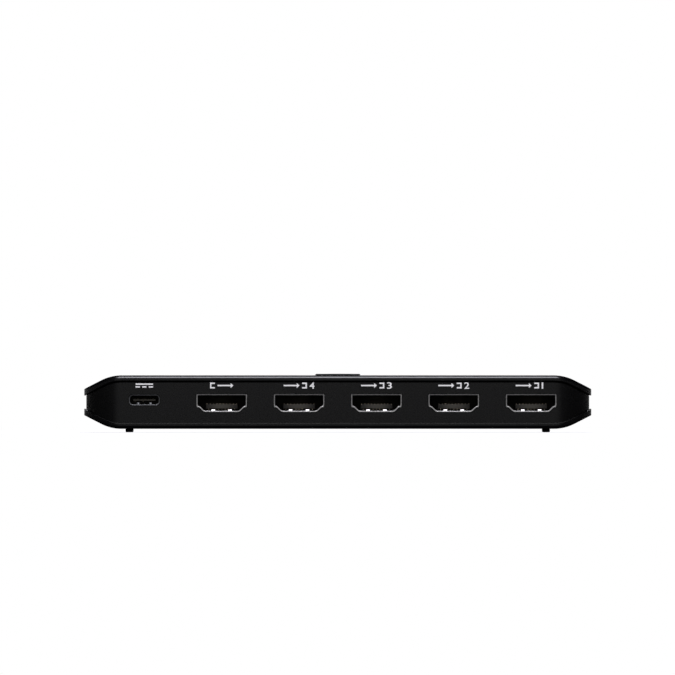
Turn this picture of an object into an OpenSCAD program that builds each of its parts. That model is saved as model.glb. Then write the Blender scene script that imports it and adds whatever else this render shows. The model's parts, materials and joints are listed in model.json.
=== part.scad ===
// Video switch box: four inputs, one output, one selector button on top.
// Millimetres, +Z up. Z = 0 is the surface it stands on, the sockets face -Y, the remote sensor faces +Y.

/* [Case] */
// Length of the case over its two ends
case_l = 147; // [140:1:180]
// Depth of the case, from the socket side to the sensor side
case_d = 66; // [62:1:80]
// Height of the case without its feet and button
case_h = 15.5; // [14.5:0.1:20]
// Height of each end, between the outer edges of the two covers
end_h = 7.6; // [6.6:0.1:9]
// Length over which a cover slopes down to its end
slope_run = 7.8; // [6.5:0.1:9]
// Outer radius of the bend between the flat and the slope of a cover
bend_r = 13; // [9:0.5:14]
// Radius of the case corners, seen from above
corner_r = 11; // [9:0.5:13]
// Thickness of the top and bottom covers
cover_t = 1.7; // [1.4:0.1:2.1]
// Width of the bevel along the long outer edges of the covers
cover_bevel = 0.7; // [0.3:0.1:1.1]
// How far the covers stand out past the middle frame
cover_overhang = 0.6; // [0.3:0.1:1.2]
// Wall thickness of the middle frame
frame_t = 2; // [1.5:0.1:2.5]
// Distance from the end of the case to the ends of the ribs that locate the frame
rib_end = 25.5; // [23.5:0.5:53.5]
// Thickness of those ribs
rib_t = 1; // [0.6:0.1:1.4]
// Height of those ribs
rib_h = 1.3; // [0.8:0.1:1.5]

/* [Feet] */
// Width of a foot strip
foot_w = 2; // [1.5:0.1:3]
// Length of a foot strip
foot_l = 46; // [20:1:54]
// Height of a foot strip below the case
foot_h = 1; // [0.6:0.1:2]
// Depth of the groove that holds a foot strip
foot_groove = 0.5; // [0.3:0.1:0.8]
// Radius of the strip's long edges
foot_edge_r = 0.4; // [0.1:0.05:0.5]
// Distance from the end of the case to the middle of a foot strip
foot_inset = 13; // [12.5:0.25:24]

/* [Screws] */
// Thread diameter of the case screws
screw_d = 2.5; // [2:0.1:3]
// Length of the screws under the head
screw_l = 8; // [6:0.5:9]
// Diameter of the screw heads
screw_head_d = 4.5; // [4:0.1:5]
// Height of the screw heads
screw_head_h = 1.7; // [1.2:0.1:1.8]
// Width across the cross recess in a screw head
screw_recess_w = 2.4; // [1.6:0.1:2.8]
// Distance from the end of the case to the middle of a screw
screw_end = 29.5; // [27.5:0.5:33.5]
// Distance of the socket-side screws from the middle of the case
screw_y_socket = 14; // [10:0.5:15]
// Distance of the sensor-side screws from the middle of the case
screw_y_sensor = 22; // [16:0.5:24]
// Diameter of the board posts and screw bosses
boss_d = 6.6; // [6:0.1:7]

/* [Board] */
// Height of the posts that carry the board above the bottom cover
standoff_h = 1.55; // [1.55:0.05:2.2]
// Thickness of the board
board_t = 1.6; // [1:0.1:2]
// Distance from the end of the case to the end of the board
board_end = 7.5; // [7:0.5:12]
// Radius of the board's corners
board_r = 6; // [5:0.5:8]
// How far soldered legs reach below the board
leg_tail = 0.8; // [0.4:0.1:1.1]

/* [Video sockets] */
// Distance from the end of the case to the middle of the outermost socket
socket_end = 17.5; // [17:0.25:20]
// Inside width of a video socket
video_w = 14; // [13:0.1:15]
// Inside height of a video socket
video_h = 4.55; // [4:0.05:5.2]
// Height of the upright sides of a video socket
video_side_h = 3.15; // [2.4:0.05:3.4]
// Width of the step between the upright sides and the slanted ones
video_step = 0.6; // [0.3:0.1:1]
// Depth of a video socket
video_depth = 11.5; // [10:0.1:13]
// Sheet thickness of the socket shells
shell_t = 0.3; // [0.2:0.05:0.4]
// Depth of the insulator block at the back of a video socket
video_block_d = 3.5; // [2.5:0.1:4.5]
// Distance of the tongue behind the mouth of a video socket
video_tongue_back = 1.3; // [1.2:0.1:2]
// Thickness of the tongue in a video socket
video_tongue_t = 1.4; // [1:0.1:1.8]
// Height of the tongue above the floor of the socket
video_tongue_rise = 0.55; // [0.5:0.05:1]
// Width of a spring finger on the socket floor
spring_w = 1; // [0.6:0.1:1.4]
// Height of a spring finger at the mouth
spring_h = 0.6; // [0.3:0.1:0.8]
// Length of a spring finger
spring_l = 0.8; // [0.5:0.1:0.9]
// Spacing of the two spring fingers
spring_pitch = 4.9; // [3:0.1:6]
// Width of a leg of a socket shell
leg_w = 1.2; // [0.8:0.1:1.4]
// Distance of the front legs behind the mouth
video_leg_front = 4.6; // [4.4:0.1:5.4]
// Distance of the back legs behind the mouth
video_leg_back = 9.4; // [7.5:0.1:9.5]

/* [Power inlet] */
// Inside width of the power inlet
power_w = 8.34; // [7.8:0.02:9]
// Inside height of the power inlet
power_h = 2.56; // [2.2:0.02:3]
// Inside radius of the corners of the power inlet
power_corner_r = 0.9; // [0.5:0.05:1.05]
// Depth of the power inlet
power_depth = 7.3; // [6.5:0.1:9]
// Height of the riser that lifts the power inlet off the board
riser_h = 1.92; // [1.2:0.02:2.4]
// Depth of the insulator block at the back of the power inlet
power_block_d = 2.4; // [1.8:0.1:3]
// Width of the tongue in the power inlet
power_tongue_w = 6.5; // [5.8:0.1:7]
// Distance of the tongue behind the mouth of the power inlet
power_tongue_back = 1.4; // [1.1:0.1:1.8]
// Thickness of the tongue in the power inlet
power_tongue_t = 0.55; // [0.5:0.05:1]
// Diameter of the round springs on the floor of the power inlet
power_spring_d = 1.1; // [0.7:0.05:1.2]
// Length of those springs
power_spring_l = 0.8; // [0.5:0.1:0.9]
// Spacing of those springs
power_spring_pitch = 3.55; // [2.5:0.05:4.5]
// Distance of the front legs behind the mouth
power_leg_front = 3.6; // [3.4:0.1:4.2]
// Distance of the back legs behind the mouth
power_leg_back = 6.1; // [5.8:0.1:6.3]

/* [Contacts] */
// Width of a socket contact
contact_w = 0.3; // [0.2:0.05:0.4]
// Thickness of a socket contact
contact_t = 0.15; // [0.1:0.01:0.2]
// Spacing of the contacts on one side of a video tongue
contact_pitch = 0.95; // [0.9:0.01:1.05]
// Spacing of the contact pairs in the power inlet
power_contact_pitch = 2.2; // [1.6:0.1:2.4]
// Length of a contact's foot on the board
contact_foot = 1; // [0.6:0.1:1.4]
// Gap between the back of an insulator and the contacts that drop to the board
contact_drop_gap = 0.2; // [0.1:0.05:0.3]
// Distance of the contact tips behind the tip of the tongue
contact_set_back = 0.2; // [0.1:0.05:0.5]
// Bare edge of a video tongue beside its outermost contacts
tongue_edge = 0.15; // [0.05:0.05:0.4]

/* [Button] */
// Diameter of the button
button_d = 13; // [10:0.1:15]
// Height of the button above the top cover
button_proud = 0.5; // [0.4:0.05:1]
// Bevel round the top of the button
button_bevel = 0.35; // [0.1:0.05:0.5]
// Wall thickness of the button
button_wall = 1.2; // [0.8:0.1:1.6]
// Width of the flange that keeps the button in the case
button_flange_w = 1.1; // [0.6:0.1:1.6]
// Thickness of that flange
button_flange_t = 0.8; // [0.5:0.1:1.2]
// Travel of the button and of the switch plunger
press_travel = 0.3; // [0.2:0.05:0.4]
// Width of the switch under the button
switch_w = 6; // [5.2:0.1:6.4]
// Height of the switch body
switch_body_h = 3.2; // [3:0.1:3.6]
// Height of the plunger top above the board
switch_h = 5; // [4.3:0.1:6]
// Diameter of the plunger
plunger_d = 3.5; // [3:0.1:3.7]
// Thickness of the plunger's flange
plunger_flange_t = 0.7; // [0.5:0.1:0.9]
// Width of the plunger's flange
plunger_flange_w = 0.5; // [0.3:0.1:0.6]
// Diameter of the nub that presses the dome
plunger_nub_d = 1.6; // [1:0.1:2]
// Thickness of the switch's metal cover
switch_cover_t = 0.3; // [0.2:0.05:0.5]
// Thickness of the switch's floor
switch_floor_t = 1.2; // [0.9:0.1:1.4]
// Room round the plunger inside the switch
switch_room = 0.8; // [0.7:0.05:0.9]
// Sheet thickness of the dome
dome_t = 0.12; // [0.08:0.01:0.16]
// Width of a switch terminal
terminal_w = 0.7; // [0.5:0.05:0.8]
// Sheet thickness of a switch terminal
terminal_t = 0.2; // [0.15:0.01:0.3]
// Distance of the switch terminals from the middle of the switch
terminal_y = 2.25; // [1.8:0.05:2.5]
// Diameter of the board holes for the terminals
terminal_hole_d = 1.1; // [1:0.05:1.4]

/* [Sensor] */
// Diameter of the sensor window
window_d = 6.8; // [6:0.1:8]
// How far the window's face lies behind the outside of the frame
window_recess = 0.35; // [0.2:0.05:0.6]
// Depth of the hollow in the window's face
window_dish = 0.3; // [0.1:0.05:0.5]
// Bevel round the window hole
window_bevel = 0.4; // [0.2:0.05:0.6]
// Height of the sensor's axis above the board
sensor_rise = 3.5; // [3.1:0.1:4.2]
// Width of the remote receiver
receiver_w = 6; // [5.6:0.1:7]
// Depth of the receiver's block
receiver_d = 3; // [2.4:0.1:3.6]
// Height of the receiver's block
receiver_h = 5.2; // [4.8:0.1:5.8]
// Radius of the receiver's dome
receiver_dome_r = 2.2; // [1.8:0.1:2.4]
// Air between the receiver's dome and the window
receiver_air = 0.5; // [0.2:0.1:1]
// Thickness of the window's flange behind the frame
window_flange_t = 0.8; // [0.5:0.1:1.2]
// How far that flange stands out beside the window
window_flange_w = 1; // [0.6:0.1:1.4]
// Width of a receiver lead
receiver_lead_w = 0.5; // [0.3:0.05:0.55]
// Spacing of the receiver leads
receiver_lead_pitch = 2.54; // [2:0.02:2.54]
// Diameter of the board holes for the leads
receiver_hole_d = 0.9; // [0.85:0.05:1.2]

/* [Indicators] */
// Diameter of the light-guide rods that show in the top cover
guide_d = 2; // [1.4:0.1:3]
// Spacing of the four indicators
indicator_pitch = 9; // [6:0.5:12]
// Distance of the indicators from the sensor side of the case
indicator_edge = 13; // [9:0.5:17]
// Width of the bar that joins the light-guide rods
guide_bar_w = 3; // [2.2:0.1:4]
// Thickness of that bar
guide_bar_t = 1.2; // [0.8:0.1:2]
// Height of a status light on the board
led_h = 0.7; // [0.4:0.1:1]

/* [Board parts] */
// Width of the switching chip
chip_w = 14; // [10:0.5:14]
// Height of the switching chip
chip_h = 1; // [0.8:0.1:1.4]
// Cut corner of the switching chip
chip_corner = 1; // [0.4:0.1:1.6]
// Gap between the switching chip and the switch under the button
chip_gap = 5; // [4:0.5:7]
// Place of the switching chip along the depth of the case
chip_y = -4; // [-5:0.5:0]
// Length of the controller chip
controller_l = 6.5; // [6.4:0.1:7]
// Width of the controller chip
controller_w = 4.4; // [3.8:0.1:5]
// Height of the controller chip
controller_h = 1; // [0.8:0.1:1.4]
// Place of the controller chip along the depth of the case
controller_y = 8.7; // [7:0.1:11]
// Spacing of the controller's leads
controller_lead_pitch = 0.65; // [0.5:0.01:0.65]
// Width of the controller's leads
controller_lead_w = 0.25; // [0.2:0.01:0.3]
// How far the controller's leads stand out
controller_lead_l = 1; // [0.6:0.1:1.4]
// Thickness of the leads on the chips
chip_lead_t = 0.3; // [0.2:0.05:0.4]
// Length of the crystal can
crystal_l = 11.4; // [10:0.1:12]
// Width of the crystal can
crystal_w = 4.7; // [4:0.1:5]
// Height of the crystal can
crystal_h = 3.6; // [2.5:0.1:4]
// Gap between the crystal can and the switch under the button
crystal_gap = 10; // [8:0.5:12]
// How far the power parts stand from the middle of the power inlet, towards the end of the case
power_part_shift = 2; // [0:0.5:3]
// Width of the power inductor
inductor_w = 6; // [5:0.1:7]
// Height of the power inductor
inductor_h = 3; // [2:0.1:4]
// Gap between the power inlet and the inductor
inductor_gap = 16; // [12:0.5:17]
// Length of the regulator
regulator_l = 6.5; // [5.5:0.1:7]
// Width of the regulator
regulator_w = 3.5; // [3:0.1:4]
// Height of the regulator
regulator_h = 1.6; // [1.2:0.1:2]
// Gap between the inductor and the middle of the regulator
regulator_gap = 7; // [6:0.5:9]
// Width of the regulator's tab
regulator_tab_w = 3; // [2.4:0.1:3.4]
// How far the regulator's tab stands out
regulator_tab_l = 1.5; // [1:0.1:2]
// Width of the regulator's leads
regulator_lead_w = 0.7; // [0.5:0.1:1]
// How far the regulator's leads stand out
regulator_lead_l = 1.2; // [0.8:0.1:1.6]
// Spacing of the regulator's leads
regulator_lead_pitch = 2.3; // [1.5:0.1:2.3]
// Diameter of a bulk capacitor
can_d = 5; // [4:0.1:5.6]
// Height of a bulk capacitor
can_h = 5.4; // [4:0.1:6.4]
// Spacing of the two bulk capacitors
can_pitch = 6.5; // [6.2:0.1:7]
// Gap between the regulator and the bulk capacitors
can_gap = 4; // [3:0.5:6]
// Length of the small resistors and capacitors
small_l = 1.6; // [1:0.1:1.8]
// Width of the small resistors and capacitors
small_w = 0.8; // [0.5:0.1:0.9]
// Height of a chip resistor
resistor_h = 0.45; // [0.3:0.05:0.6]
// Length of a surge array
surge_l = 2.5; // [2:0.1:3]
// Gap between rows of small parts
row_gap = 1; // [0.6:0.1:1.2]

/* [Clearances] */
// Gap between a piece and the opening that it sits in or slides in
fit = 0.15; // [0.1:0.05:0.25]
// Gap at the seams between fixed pieces
seam = 0.05; // [0.02:0.01:0.08]
// Gap between the edge of the board and the frame
board_gap = 0.3; // [0.2:0.05:0.5]

/* [Hidden] */
$fn = 64;
// Cuts run this far past the faces that they open
past = 1;
// Levels, from the ground up
floor_z = foot_h + cover_t;
board_z = floor_z + standoff_h;
deck_z = board_z + board_t;
mid_z = foot_h + case_h / 2;
top_z = foot_h + case_h;
roof_z = top_z - cover_t;
// The two long walls of the frame: outer and inner face
face_y = case_d / 2 - cover_overhang;
wall_y = face_y - frame_t;
rib_l = case_l - 2 * rib_end;
// The bend of the covers
slope_a = atan2((case_h - end_h) / 2, slope_run);
bend_x = case_l / 2 - slope_run - bend_r * tan(slope_a / 2);
bend_z = case_h / 2 - bend_r;
bend_steps = 8;
// Board outline, screws and feet
board_l = case_l - 2 * board_end;
board_d = 2 * (wall_y - board_gap);
screw_x = case_l / 2 - screw_end;
screw_places = [for (sx = [-1, 1], y = [-screw_y_socket, screw_y_sensor]) [sx * screw_x, y]];
screw_hole_d = screw_d + 2 * fit;
screw_seat_z = foot_h + screw_head_h + fit;
foot_x = case_l / 2 - foot_inset;
// Sockets from left to right, seen from the socket side
last_socket = 5;
socket_pitch = (case_l - 2 * socket_end) / last_socket;
socket_x = [for (i = [0:last_socket]) (i - last_socket / 2) * socket_pitch];
power_x = socket_x[0];
video_x = [for (i = [1:last_socket]) socket_x[i]];
mouth_y = -face_y;
leg_z = board_z - leg_tail;
// Video sockets
video_floor_z = deck_z + seam + shell_t;
video_back_y = mouth_y + video_depth;
video_leg_y = [mouth_y + video_leg_front, mouth_y + video_leg_back];
video_tongue_y = mouth_y + video_tongue_back;
video_tongue_z = video_floor_z + video_tongue_rise;
upper_contact_x = [for (i = [0:9]) (i - 4.5) * contact_pitch];
lower_contact_x = [for (i = [0:8]) (i - 4) * contact_pitch];
video_tongue_w = 2 * (upper_contact_x[9] + contact_w / 2 + tongue_edge);
// Power inlet
power_z = deck_z + riser_h + shell_t + power_h / 2;
power_back_y = mouth_y + power_depth;
power_leg_y = [mouth_y + power_leg_front, mouth_y + power_leg_back];
power_leg_x = power_w / 2 + shell_t;
power_tongue_y = mouth_y + power_tongue_back;
power_pair_x = [for (i = [-1:1]) i * power_contact_pitch];
// Switch under the button
switch_room_d = plunger_d + 2 * switch_room;
dome_rise = press_travel + dome_t + seam;
dome_r = switch_room_d / 2 - fit;
terminal_x = (switch_w + terminal_t) / 2;
// Sensor window and receiver
sensor_x = socket_x[last_socket];
sensor_z = deck_z + sensor_rise;
receiver_base_z = sensor_z - receiver_h / 2;
receiver_face_y = wall_y - window_flange_t - receiver_air - receiver_dome_r;
receiver_lead_x = [for (i = [-1:1]) sensor_x + i * receiver_lead_pitch];
// Indicators
indicator_y = case_d / 2 - indicator_edge;
indicator_x = [for (i = [0:3]) (i - 1.5) * indicator_pitch];
// Small parts behind the sockets, round the switching chip and behind the power inlet
surge_y = video_back_y + contact_drop_gap + contact_t + contact_foot + row_gap;
resistor_y = surge_y + 2 * small_w + row_gap;
chip_x = -switch_w / 2 - chip_gap - chip_w / 2;
crystal_x = switch_w / 2 + crystal_gap + crystal_l / 2;
power_part_x = power_x - power_part_shift;
inductor_y = power_back_y + inductor_gap + inductor_w / 2;
regulator_y = inductor_y + inductor_w / 2 + regulator_gap;
can_y = regulator_y + can_gap + can_d;

// Extrudes a shape drawn in X and Z from y0 to y1
module along_y(y0, y1) {
  translate([0, y1, 0]) rotate([90, 0, 0]) linear_extrude(y1 - y0) children();
}

// Extrudes a shape drawn in Y and Z from x0 to x1
module along_x(x0, x1) {
  translate([x0, 0, 0]) rotate([90, 0, 90]) linear_extrude(x1 - x0) children();
}

// A box given by its middle in X and Y and its underside
module block(x, y, z, size) {
  translate([x - size[0] / 2, y - size[1] / 2, z]) cube(size);
}

// A rectangle with round corners
module round_rect(l, w, r) {
  square([l - 2 * r, w], center = true);
  square([l, w - 2 * r], center = true);
  for (sx = [-1, 1], sy = [-1, 1])
    translate([sx * (l / 2 - r), sy * (w / 2 - r)]) circle(r);
}

// Long section of the case in X and Z about its middle, drawn in by inset, open past both ends.
// The bend is an arc of bend_steps short facets.
module case_section(inset) {
  r = bend_r - inset;
  bend = [
    for (i = [0:bend_steps])
      let (a = slope_a * i / bend_steps) [bend_x + r * sin(a), bend_z + r * cos(a)]
  ];
  slope_start = bend[bend_steps];
  out_x = case_l / 2 + past + inset;
  slope_end = [out_x, slope_start[1] - (out_x - slope_start[0]) * tan(slope_a)];
  quarter = concat(bend, [slope_end]);
  last = len(quarter) - 1;
  polygon(concat(
    quarter,
    [for (i = [last:-1:0]) [quarter[i][0], -quarter[i][1]]],
    [for (i = [0:last]) [-quarter[i][0], -quarter[i][1]]],
    [for (i = [last:-1:0]) [-quarter[i][0], quarter[i][1]]]
  ));
}

// The bent plate of a cover, above the middle of the case
module cover_plate() {
  half_d = case_d / 2;
  half_h = case_h / 2;
  intersection() {
    along_y(-half_d - past, half_d + past)
      difference() {
        case_section(0);
        case_section(cover_t);
        translate([-case_l, -case_h]) square([2 * case_l, case_h]);
      }
    linear_extrude(case_h) round_rect(case_l, case_d, corner_r);
    along_x(-case_l, case_l)
      polygon([
        [-half_d, 0], [half_d, 0], [half_d, half_h - cover_bevel], [half_d - cover_bevel, half_h],
        [cover_bevel - half_d, half_h], [-half_d, half_h - cover_bevel]
      ]);
  }
}

// Two ribs just inside the long walls of the frame, standing on level z
module frame_ribs(z) {
  for (s = [-1, 1])
    block(0, s * (wall_y - fit - rib_t / 2), z, [rib_l, rib_t, rib_h + past / 2]);
}

module top_cover() {
  color("#1c1c1c")
    difference() {
      union() {
        translate([0, 0, mid_z]) cover_plate();
        frame_ribs(roof_z - rib_h);
        for (p = screw_places)
          translate([p[0], p[1], deck_z]) cylinder(d = boss_d, h = roof_z - deck_z + past / 2);
      }
      cylinder(d = button_d + 2 * fit, h = top_z + past);
      for (x = indicator_x)
        translate([x, indicator_y, roof_z - past]) cylinder(d = guide_d + 2 * fit, h = cover_t + 2 * past);
      for (p = screw_places)
        translate([p[0], p[1], deck_z - past])
          cylinder(d = screw_d + 2 * seam, h = screw_seat_z + screw_l + past - deck_z + past);
    }
}

module bottom_cover() {
  color("#1c1c1c")
    difference() {
      union() {
        translate([0, 0, mid_z]) mirror([0, 0, 1]) cover_plate();
        frame_ribs(floor_z - past / 2);
        for (p = screw_places)
          translate([p[0], p[1], floor_z - past / 2]) cylinder(d = boss_d, h = standoff_h + past / 2);
      }
      for (p = screw_places)
        translate([p[0], p[1], 0]) {
          cylinder(d = screw_hole_d, h = board_z + past);
          cylinder(d = screw_head_d + 2 * fit, h = screw_seat_z);
        }
      for (s = [-1, 1])
        block(s * foot_x, 0, 0, [foot_w + 2 * seam, foot_l + 2 * seam, foot_h + foot_groove]);
    }
}

// Outline of a video socket in X and Z, from the middle of its floor, grown by g
module video_outline(g) {
  side = video_w / 2 + g;
  step_z = video_h - video_side_h;
  k = g * tan(22.5);
  step_x = video_w / 2 - video_step;
  half = [
    [side, video_h + g], [side, step_z - g], [step_x + k, step_z - g], [step_x - step_z + k, -g]
  ];
  polygon(concat(half, [for (i = [3:-1:0]) [-half[i][0], half[i][1]]]));
}

// Outline of the power inlet in X and Z, from its middle, grown by g
module power_outline(g) {
  round_rect(power_w + 2 * g, power_h + 2 * g, power_corner_r + g);
}

module middle_frame() {
  color("#1c1c1c")
    difference() {
      intersection() {
        linear_extrude(top_z)
          difference() {
            round_rect(case_l - 2 * cover_overhang, 2 * face_y, corner_r - cover_overhang);
            round_rect(
              case_l - 2 * (cover_overhang + frame_t), 2 * wall_y, corner_r - cover_overhang - frame_t
            );
          }
        translate([0, 0, mid_z]) along_y(-case_d, case_d) case_section(cover_t + seam);
      }
      for (x = video_x)
        translate([x, 0, video_floor_z]) along_y(mouth_y - past, past - wall_y) video_outline(shell_t + fit);
      translate([power_x, 0, power_z]) along_y(mouth_y - past, past - wall_y) power_outline(shell_t + fit);
      translate([sensor_x, face_y, sensor_z]) rotate([90, 0, 0]) {
        translate([0, 0, -past]) cylinder(d = window_d + 2 * seam, h = frame_t + 2 * past);
        translate([0, 0, -past])
          cylinder(r1 = window_d / 2 + window_bevel + past, r2 = window_d / 2, h = window_bevel + past);
      }
    }
}

module ir_window() {
  dish_r = (pow(window_d / 2, 2) + pow(window_dish, 2)) / (2 * window_dish);
  body_d = window_d - 2 * seam;
  face_z = frame_t - window_recess;
  color("#14100f")
    translate([sensor_x, wall_y, sensor_z]) rotate([-90, 0, 0]) {
      difference() {
        translate([0, 0, -window_flange_t / 2]) cylinder(d = body_d, h = face_z + window_flange_t / 2);
        translate([0, 0, face_z - window_dish + dish_r]) sphere(dish_r);
        translate([-window_d, sensor_rise - board_gap, -past]) cube([2 * window_d, window_d, past]);
      }
      translate([-window_d / 2 - window_flange_w, board_gap - sensor_rise, -window_flange_t])
        cube([window_d + 2 * window_flange_w, 2 * (sensor_rise - board_gap), window_flange_t]);
    }
}

module foot_strip(side) {
  height = foot_h + foot_groove;
  color("#26262a")
    along_y(-foot_l / 2, foot_l / 2)
      translate([side * foot_x, height / 2]) round_rect(foot_w, height, foot_edge_r);
}

module case_screws() {
  recess_arm = screw_recess_w / 4;
  recess_depth = screw_head_h / 2;
  color("#3a3a3c")
    for (p = screw_places)
      translate([p[0], p[1], screw_seat_z])
        difference() {
          union() {
            cylinder(d = screw_d, h = screw_l);
            translate([0, 0, -screw_head_h]) cylinder(d = screw_head_d, h = screw_head_h);
          }
          for (a = [0, 90])
            rotate(a) block(0, 0, -screw_head_h - past, [screw_recess_w, recess_arm, recess_depth + past]);
        }
}

module select_button() {
  outer_r = button_d / 2;
  inner_r = outer_r - button_wall;
  stem_r = plunger_d / 2;
  flange_z = roof_z - seam;
  cap_z = top_z + button_proud;
  stem_z = deck_z + switch_h + seam;
  color("#161616")
    rotate_extrude()
      polygon([
        [0, stem_z], [stem_r, stem_z], [stem_r, cap_z - button_wall], [inner_r, cap_z - button_wall],
        [inner_r, flange_z - button_flange_t], [outer_r + button_flange_w, flange_z - button_flange_t],
        [outer_r + button_flange_w, flange_z], [outer_r, flange_z], [outer_r, cap_z - button_bevel],
        [outer_r - button_bevel, cap_z], [0, cap_z]
      ]);
}

module tact_switch_base() {
  color("#2a2a2a")
    difference() {
      block(0, 0, deck_z, [switch_w, switch_w, switch_body_h]);
      translate([0, 0, deck_z + switch_floor_t]) cylinder(d = switch_room_d, h = switch_body_h);
    }
}

module tact_switch_cover() {
  color("silver")
    difference() {
      block(0, 0, deck_z + switch_body_h, [switch_w, switch_w, switch_cover_t]);
      translate([0, 0, deck_z]) cylinder(d = plunger_d + 2 * fit, h = switch_h);
    }
}

module tact_switch_plunger() {
  flange_r = plunger_d / 2 + plunger_flange_w;
  flange_top = switch_body_h - seam;
  nub_r = plunger_nub_d / 2;
  nub_z = switch_floor_t + dome_rise + seam;
  color("#1a1a1a")
    translate([0, 0, deck_z])
      rotate_extrude()
        polygon([
          [0, nub_z], [nub_r, nub_z], [nub_r, flange_top - plunger_flange_t],
          [flange_r, flange_top - plunger_flange_t], [flange_r, flange_top], [plunger_d / 2, flange_top],
          [plunger_d / 2, switch_h], [0, switch_h]
        ]);
}

module tact_switch_dome() {
  curve_r = (dome_r * dome_r + dome_rise * dome_rise) / (2 * dome_rise);
  color("goldenrod")
    translate([0, 0, deck_z + switch_floor_t])
      rotate_extrude()
        intersection() {
          difference() {
            translate([0, dome_rise - curve_r]) circle(curve_r);
            translate([0, dome_rise - dome_t - curve_r]) circle(curve_r);
          }
          square([dome_r, dome_rise]);
        }
}

module tact_switch_terminals() {
  color("silver")
    for (sx = [-1, 1], sy = [-1, 1])
      block(
        sx * terminal_x, sy * terminal_y, leg_z,
        [terminal_t, terminal_w, deck_z + switch_floor_t - leg_z]
      );
}

module main_board() {
  color("#0d3b24")
    difference() {
      translate([0, 0, board_z]) linear_extrude(board_t) round_rect(board_l, board_d, board_r);
      for (p = screw_places)
        translate([p[0], p[1], board_z - past]) cylinder(d = screw_hole_d, h = board_t + 2 * past);
      for (x = video_x, sx = [-1, 1], y = video_leg_y)
        block(
          x + sx * (video_w + shell_t) / 2, y, board_z - past,
          [shell_t + 2 * fit, leg_w + 2 * fit, board_t + 2 * past]
        );
      for (sx = [-1, 1], y = power_leg_y)
        block(
          power_x + sx * power_leg_x, y, board_z - past,
          [shell_t + 2 * fit, leg_w + 2 * fit, board_t + 2 * past]
        );
      for (sx = [-1, 1], sy = [-1, 1])
        translate([sx * terminal_x, sy * terminal_y, board_z - past])
          cylinder(d = terminal_hole_d, h = board_t + 2 * past);
      for (x = receiver_lead_x)
        translate([x, receiver_face_y - receiver_d / 2, board_z - past])
          cylinder(d = receiver_hole_d, h = board_t + 2 * past);
    }
}

module video_shell(x) {
  color("silver")
    translate([x, 0, 0]) {
      difference() {
        union() {
          translate([0, 0, video_floor_z]) along_y(mouth_y, video_back_y) video_outline(shell_t);
          for (sx = [-1, 1], y = video_leg_y)
            block(
              sx * (video_w + shell_t) / 2, y, leg_z,
              [shell_t, leg_w, video_floor_z + video_h - video_side_h / 2 - leg_z]
            );
        }
        translate([0, 0, video_floor_z]) along_y(mouth_y - past, video_back_y + past) video_outline(0);
      }
      for (sx = [-1, 1])
        block(
          sx * spring_pitch / 2, mouth_y + (shell_t + spring_l) / 2, video_floor_z - shell_t / 2,
          [spring_w, spring_l, spring_h + shell_t / 2]
        );
    }
}

// One contact: a strip along the tongue, down behind the socket, and a foot on the board
module contact(x, y_front, y_drop, z_strip) {
  y_foot = y_drop + contact_t + contact_foot;
  along_x(x - contact_w / 2, x + contact_w / 2)
    polygon([
      [y_front, z_strip], [y_drop, z_strip], [y_drop, deck_z], [y_foot, deck_z],
      [y_foot, deck_z + contact_t], [y_drop + contact_t, deck_z + contact_t],
      [y_drop + contact_t, z_strip + contact_t], [y_front, z_strip + contact_t]
    ]);
}

// A slot through an insulator for one contact
module contact_slot(x, y0, y1, z0) {
  along_x(x - contact_w / 2 - seam, x + contact_w / 2 + seam)
    polygon([[y0, z0], [y1, z0], [y1, z0 + contact_t + seam], [y0, z0 + contact_t + seam]]);
}

module video_insulator(x) {
  block_y = video_back_y - video_block_d;
  color("#3c3a36")
    translate([x, 0, 0])
      difference() {
        union() {
          translate([0, 0, video_floor_z]) along_y(block_y, video_back_y) video_outline(-seam);
          translate([-video_tongue_w / 2, video_tongue_y, video_tongue_z])
            cube([video_tongue_w, block_y - video_tongue_y + past, video_tongue_t]);
        }
        for (c = upper_contact_x)
          contact_slot(c, block_y - past, video_back_y + past, video_tongue_z + video_tongue_t);
        for (c = lower_contact_x)
          contact_slot(c, block_y - past, video_back_y + past, video_tongue_z - contact_t - seam);
      }
}

module video_contacts(x) {
  y_front = video_tongue_y + contact_set_back;
  y_drop = video_back_y + contact_drop_gap;
  color("gold")
    translate([x, 0, 0]) {
      for (c = upper_contact_x)
        contact(c, y_front, y_drop, video_tongue_z + video_tongue_t);
      for (c = lower_contact_x)
        contact(c, y_front, y_drop, video_tongue_z - contact_t);
    }
}

module power_inlet_shell() {
  spring_y = mouth_y + shell_t / 2;
  color("#5a5a5c")
    translate([power_x, 0, 0]) {
      difference() {
        union() {
          translate([0, 0, power_z]) along_y(mouth_y, power_back_y) power_outline(shell_t);
          for (sx = [-1, 1], y = power_leg_y)
            block(sx * power_leg_x, y, leg_z, [shell_t, leg_w, power_z + power_h / 4 - leg_z]);
        }
        translate([0, 0, power_z]) along_y(mouth_y - past, power_back_y + past) power_outline(0);
      }
      intersection() {
        translate([0, 0, power_z]) along_y(spring_y, spring_y + power_spring_l) power_outline(shell_t / 2);
        for (sx = [-1, 1])
          translate([sx * power_spring_pitch / 2, 0, power_z - power_h / 2])
            along_y(mouth_y, power_back_y) circle(d = power_spring_d);
      }
    }
}

module power_inlet_insulator() {
  block_y = power_back_y - power_block_d;
  upper_z = power_z + power_tongue_t / 2;
  lower_z = power_z - power_tongue_t / 2 - contact_t - seam;
  color("#2c2c2c")
    translate([power_x, 0, 0])
      difference() {
        union() {
          translate([0, 0, power_z]) along_y(block_y, power_back_y) power_outline(-seam);
          translate([-power_tongue_w / 2, power_tongue_y, power_z - power_tongue_t / 2])
            cube([power_tongue_w, block_y - power_tongue_y + past, power_tongue_t]);
        }
        for (x = power_pair_x) {
          contact_slot(x + contact_w, block_y - past, power_back_y + past, upper_z);
          contact_slot(x - contact_w, block_y - past, power_back_y + past, lower_z);
        }
      }
}

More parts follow.
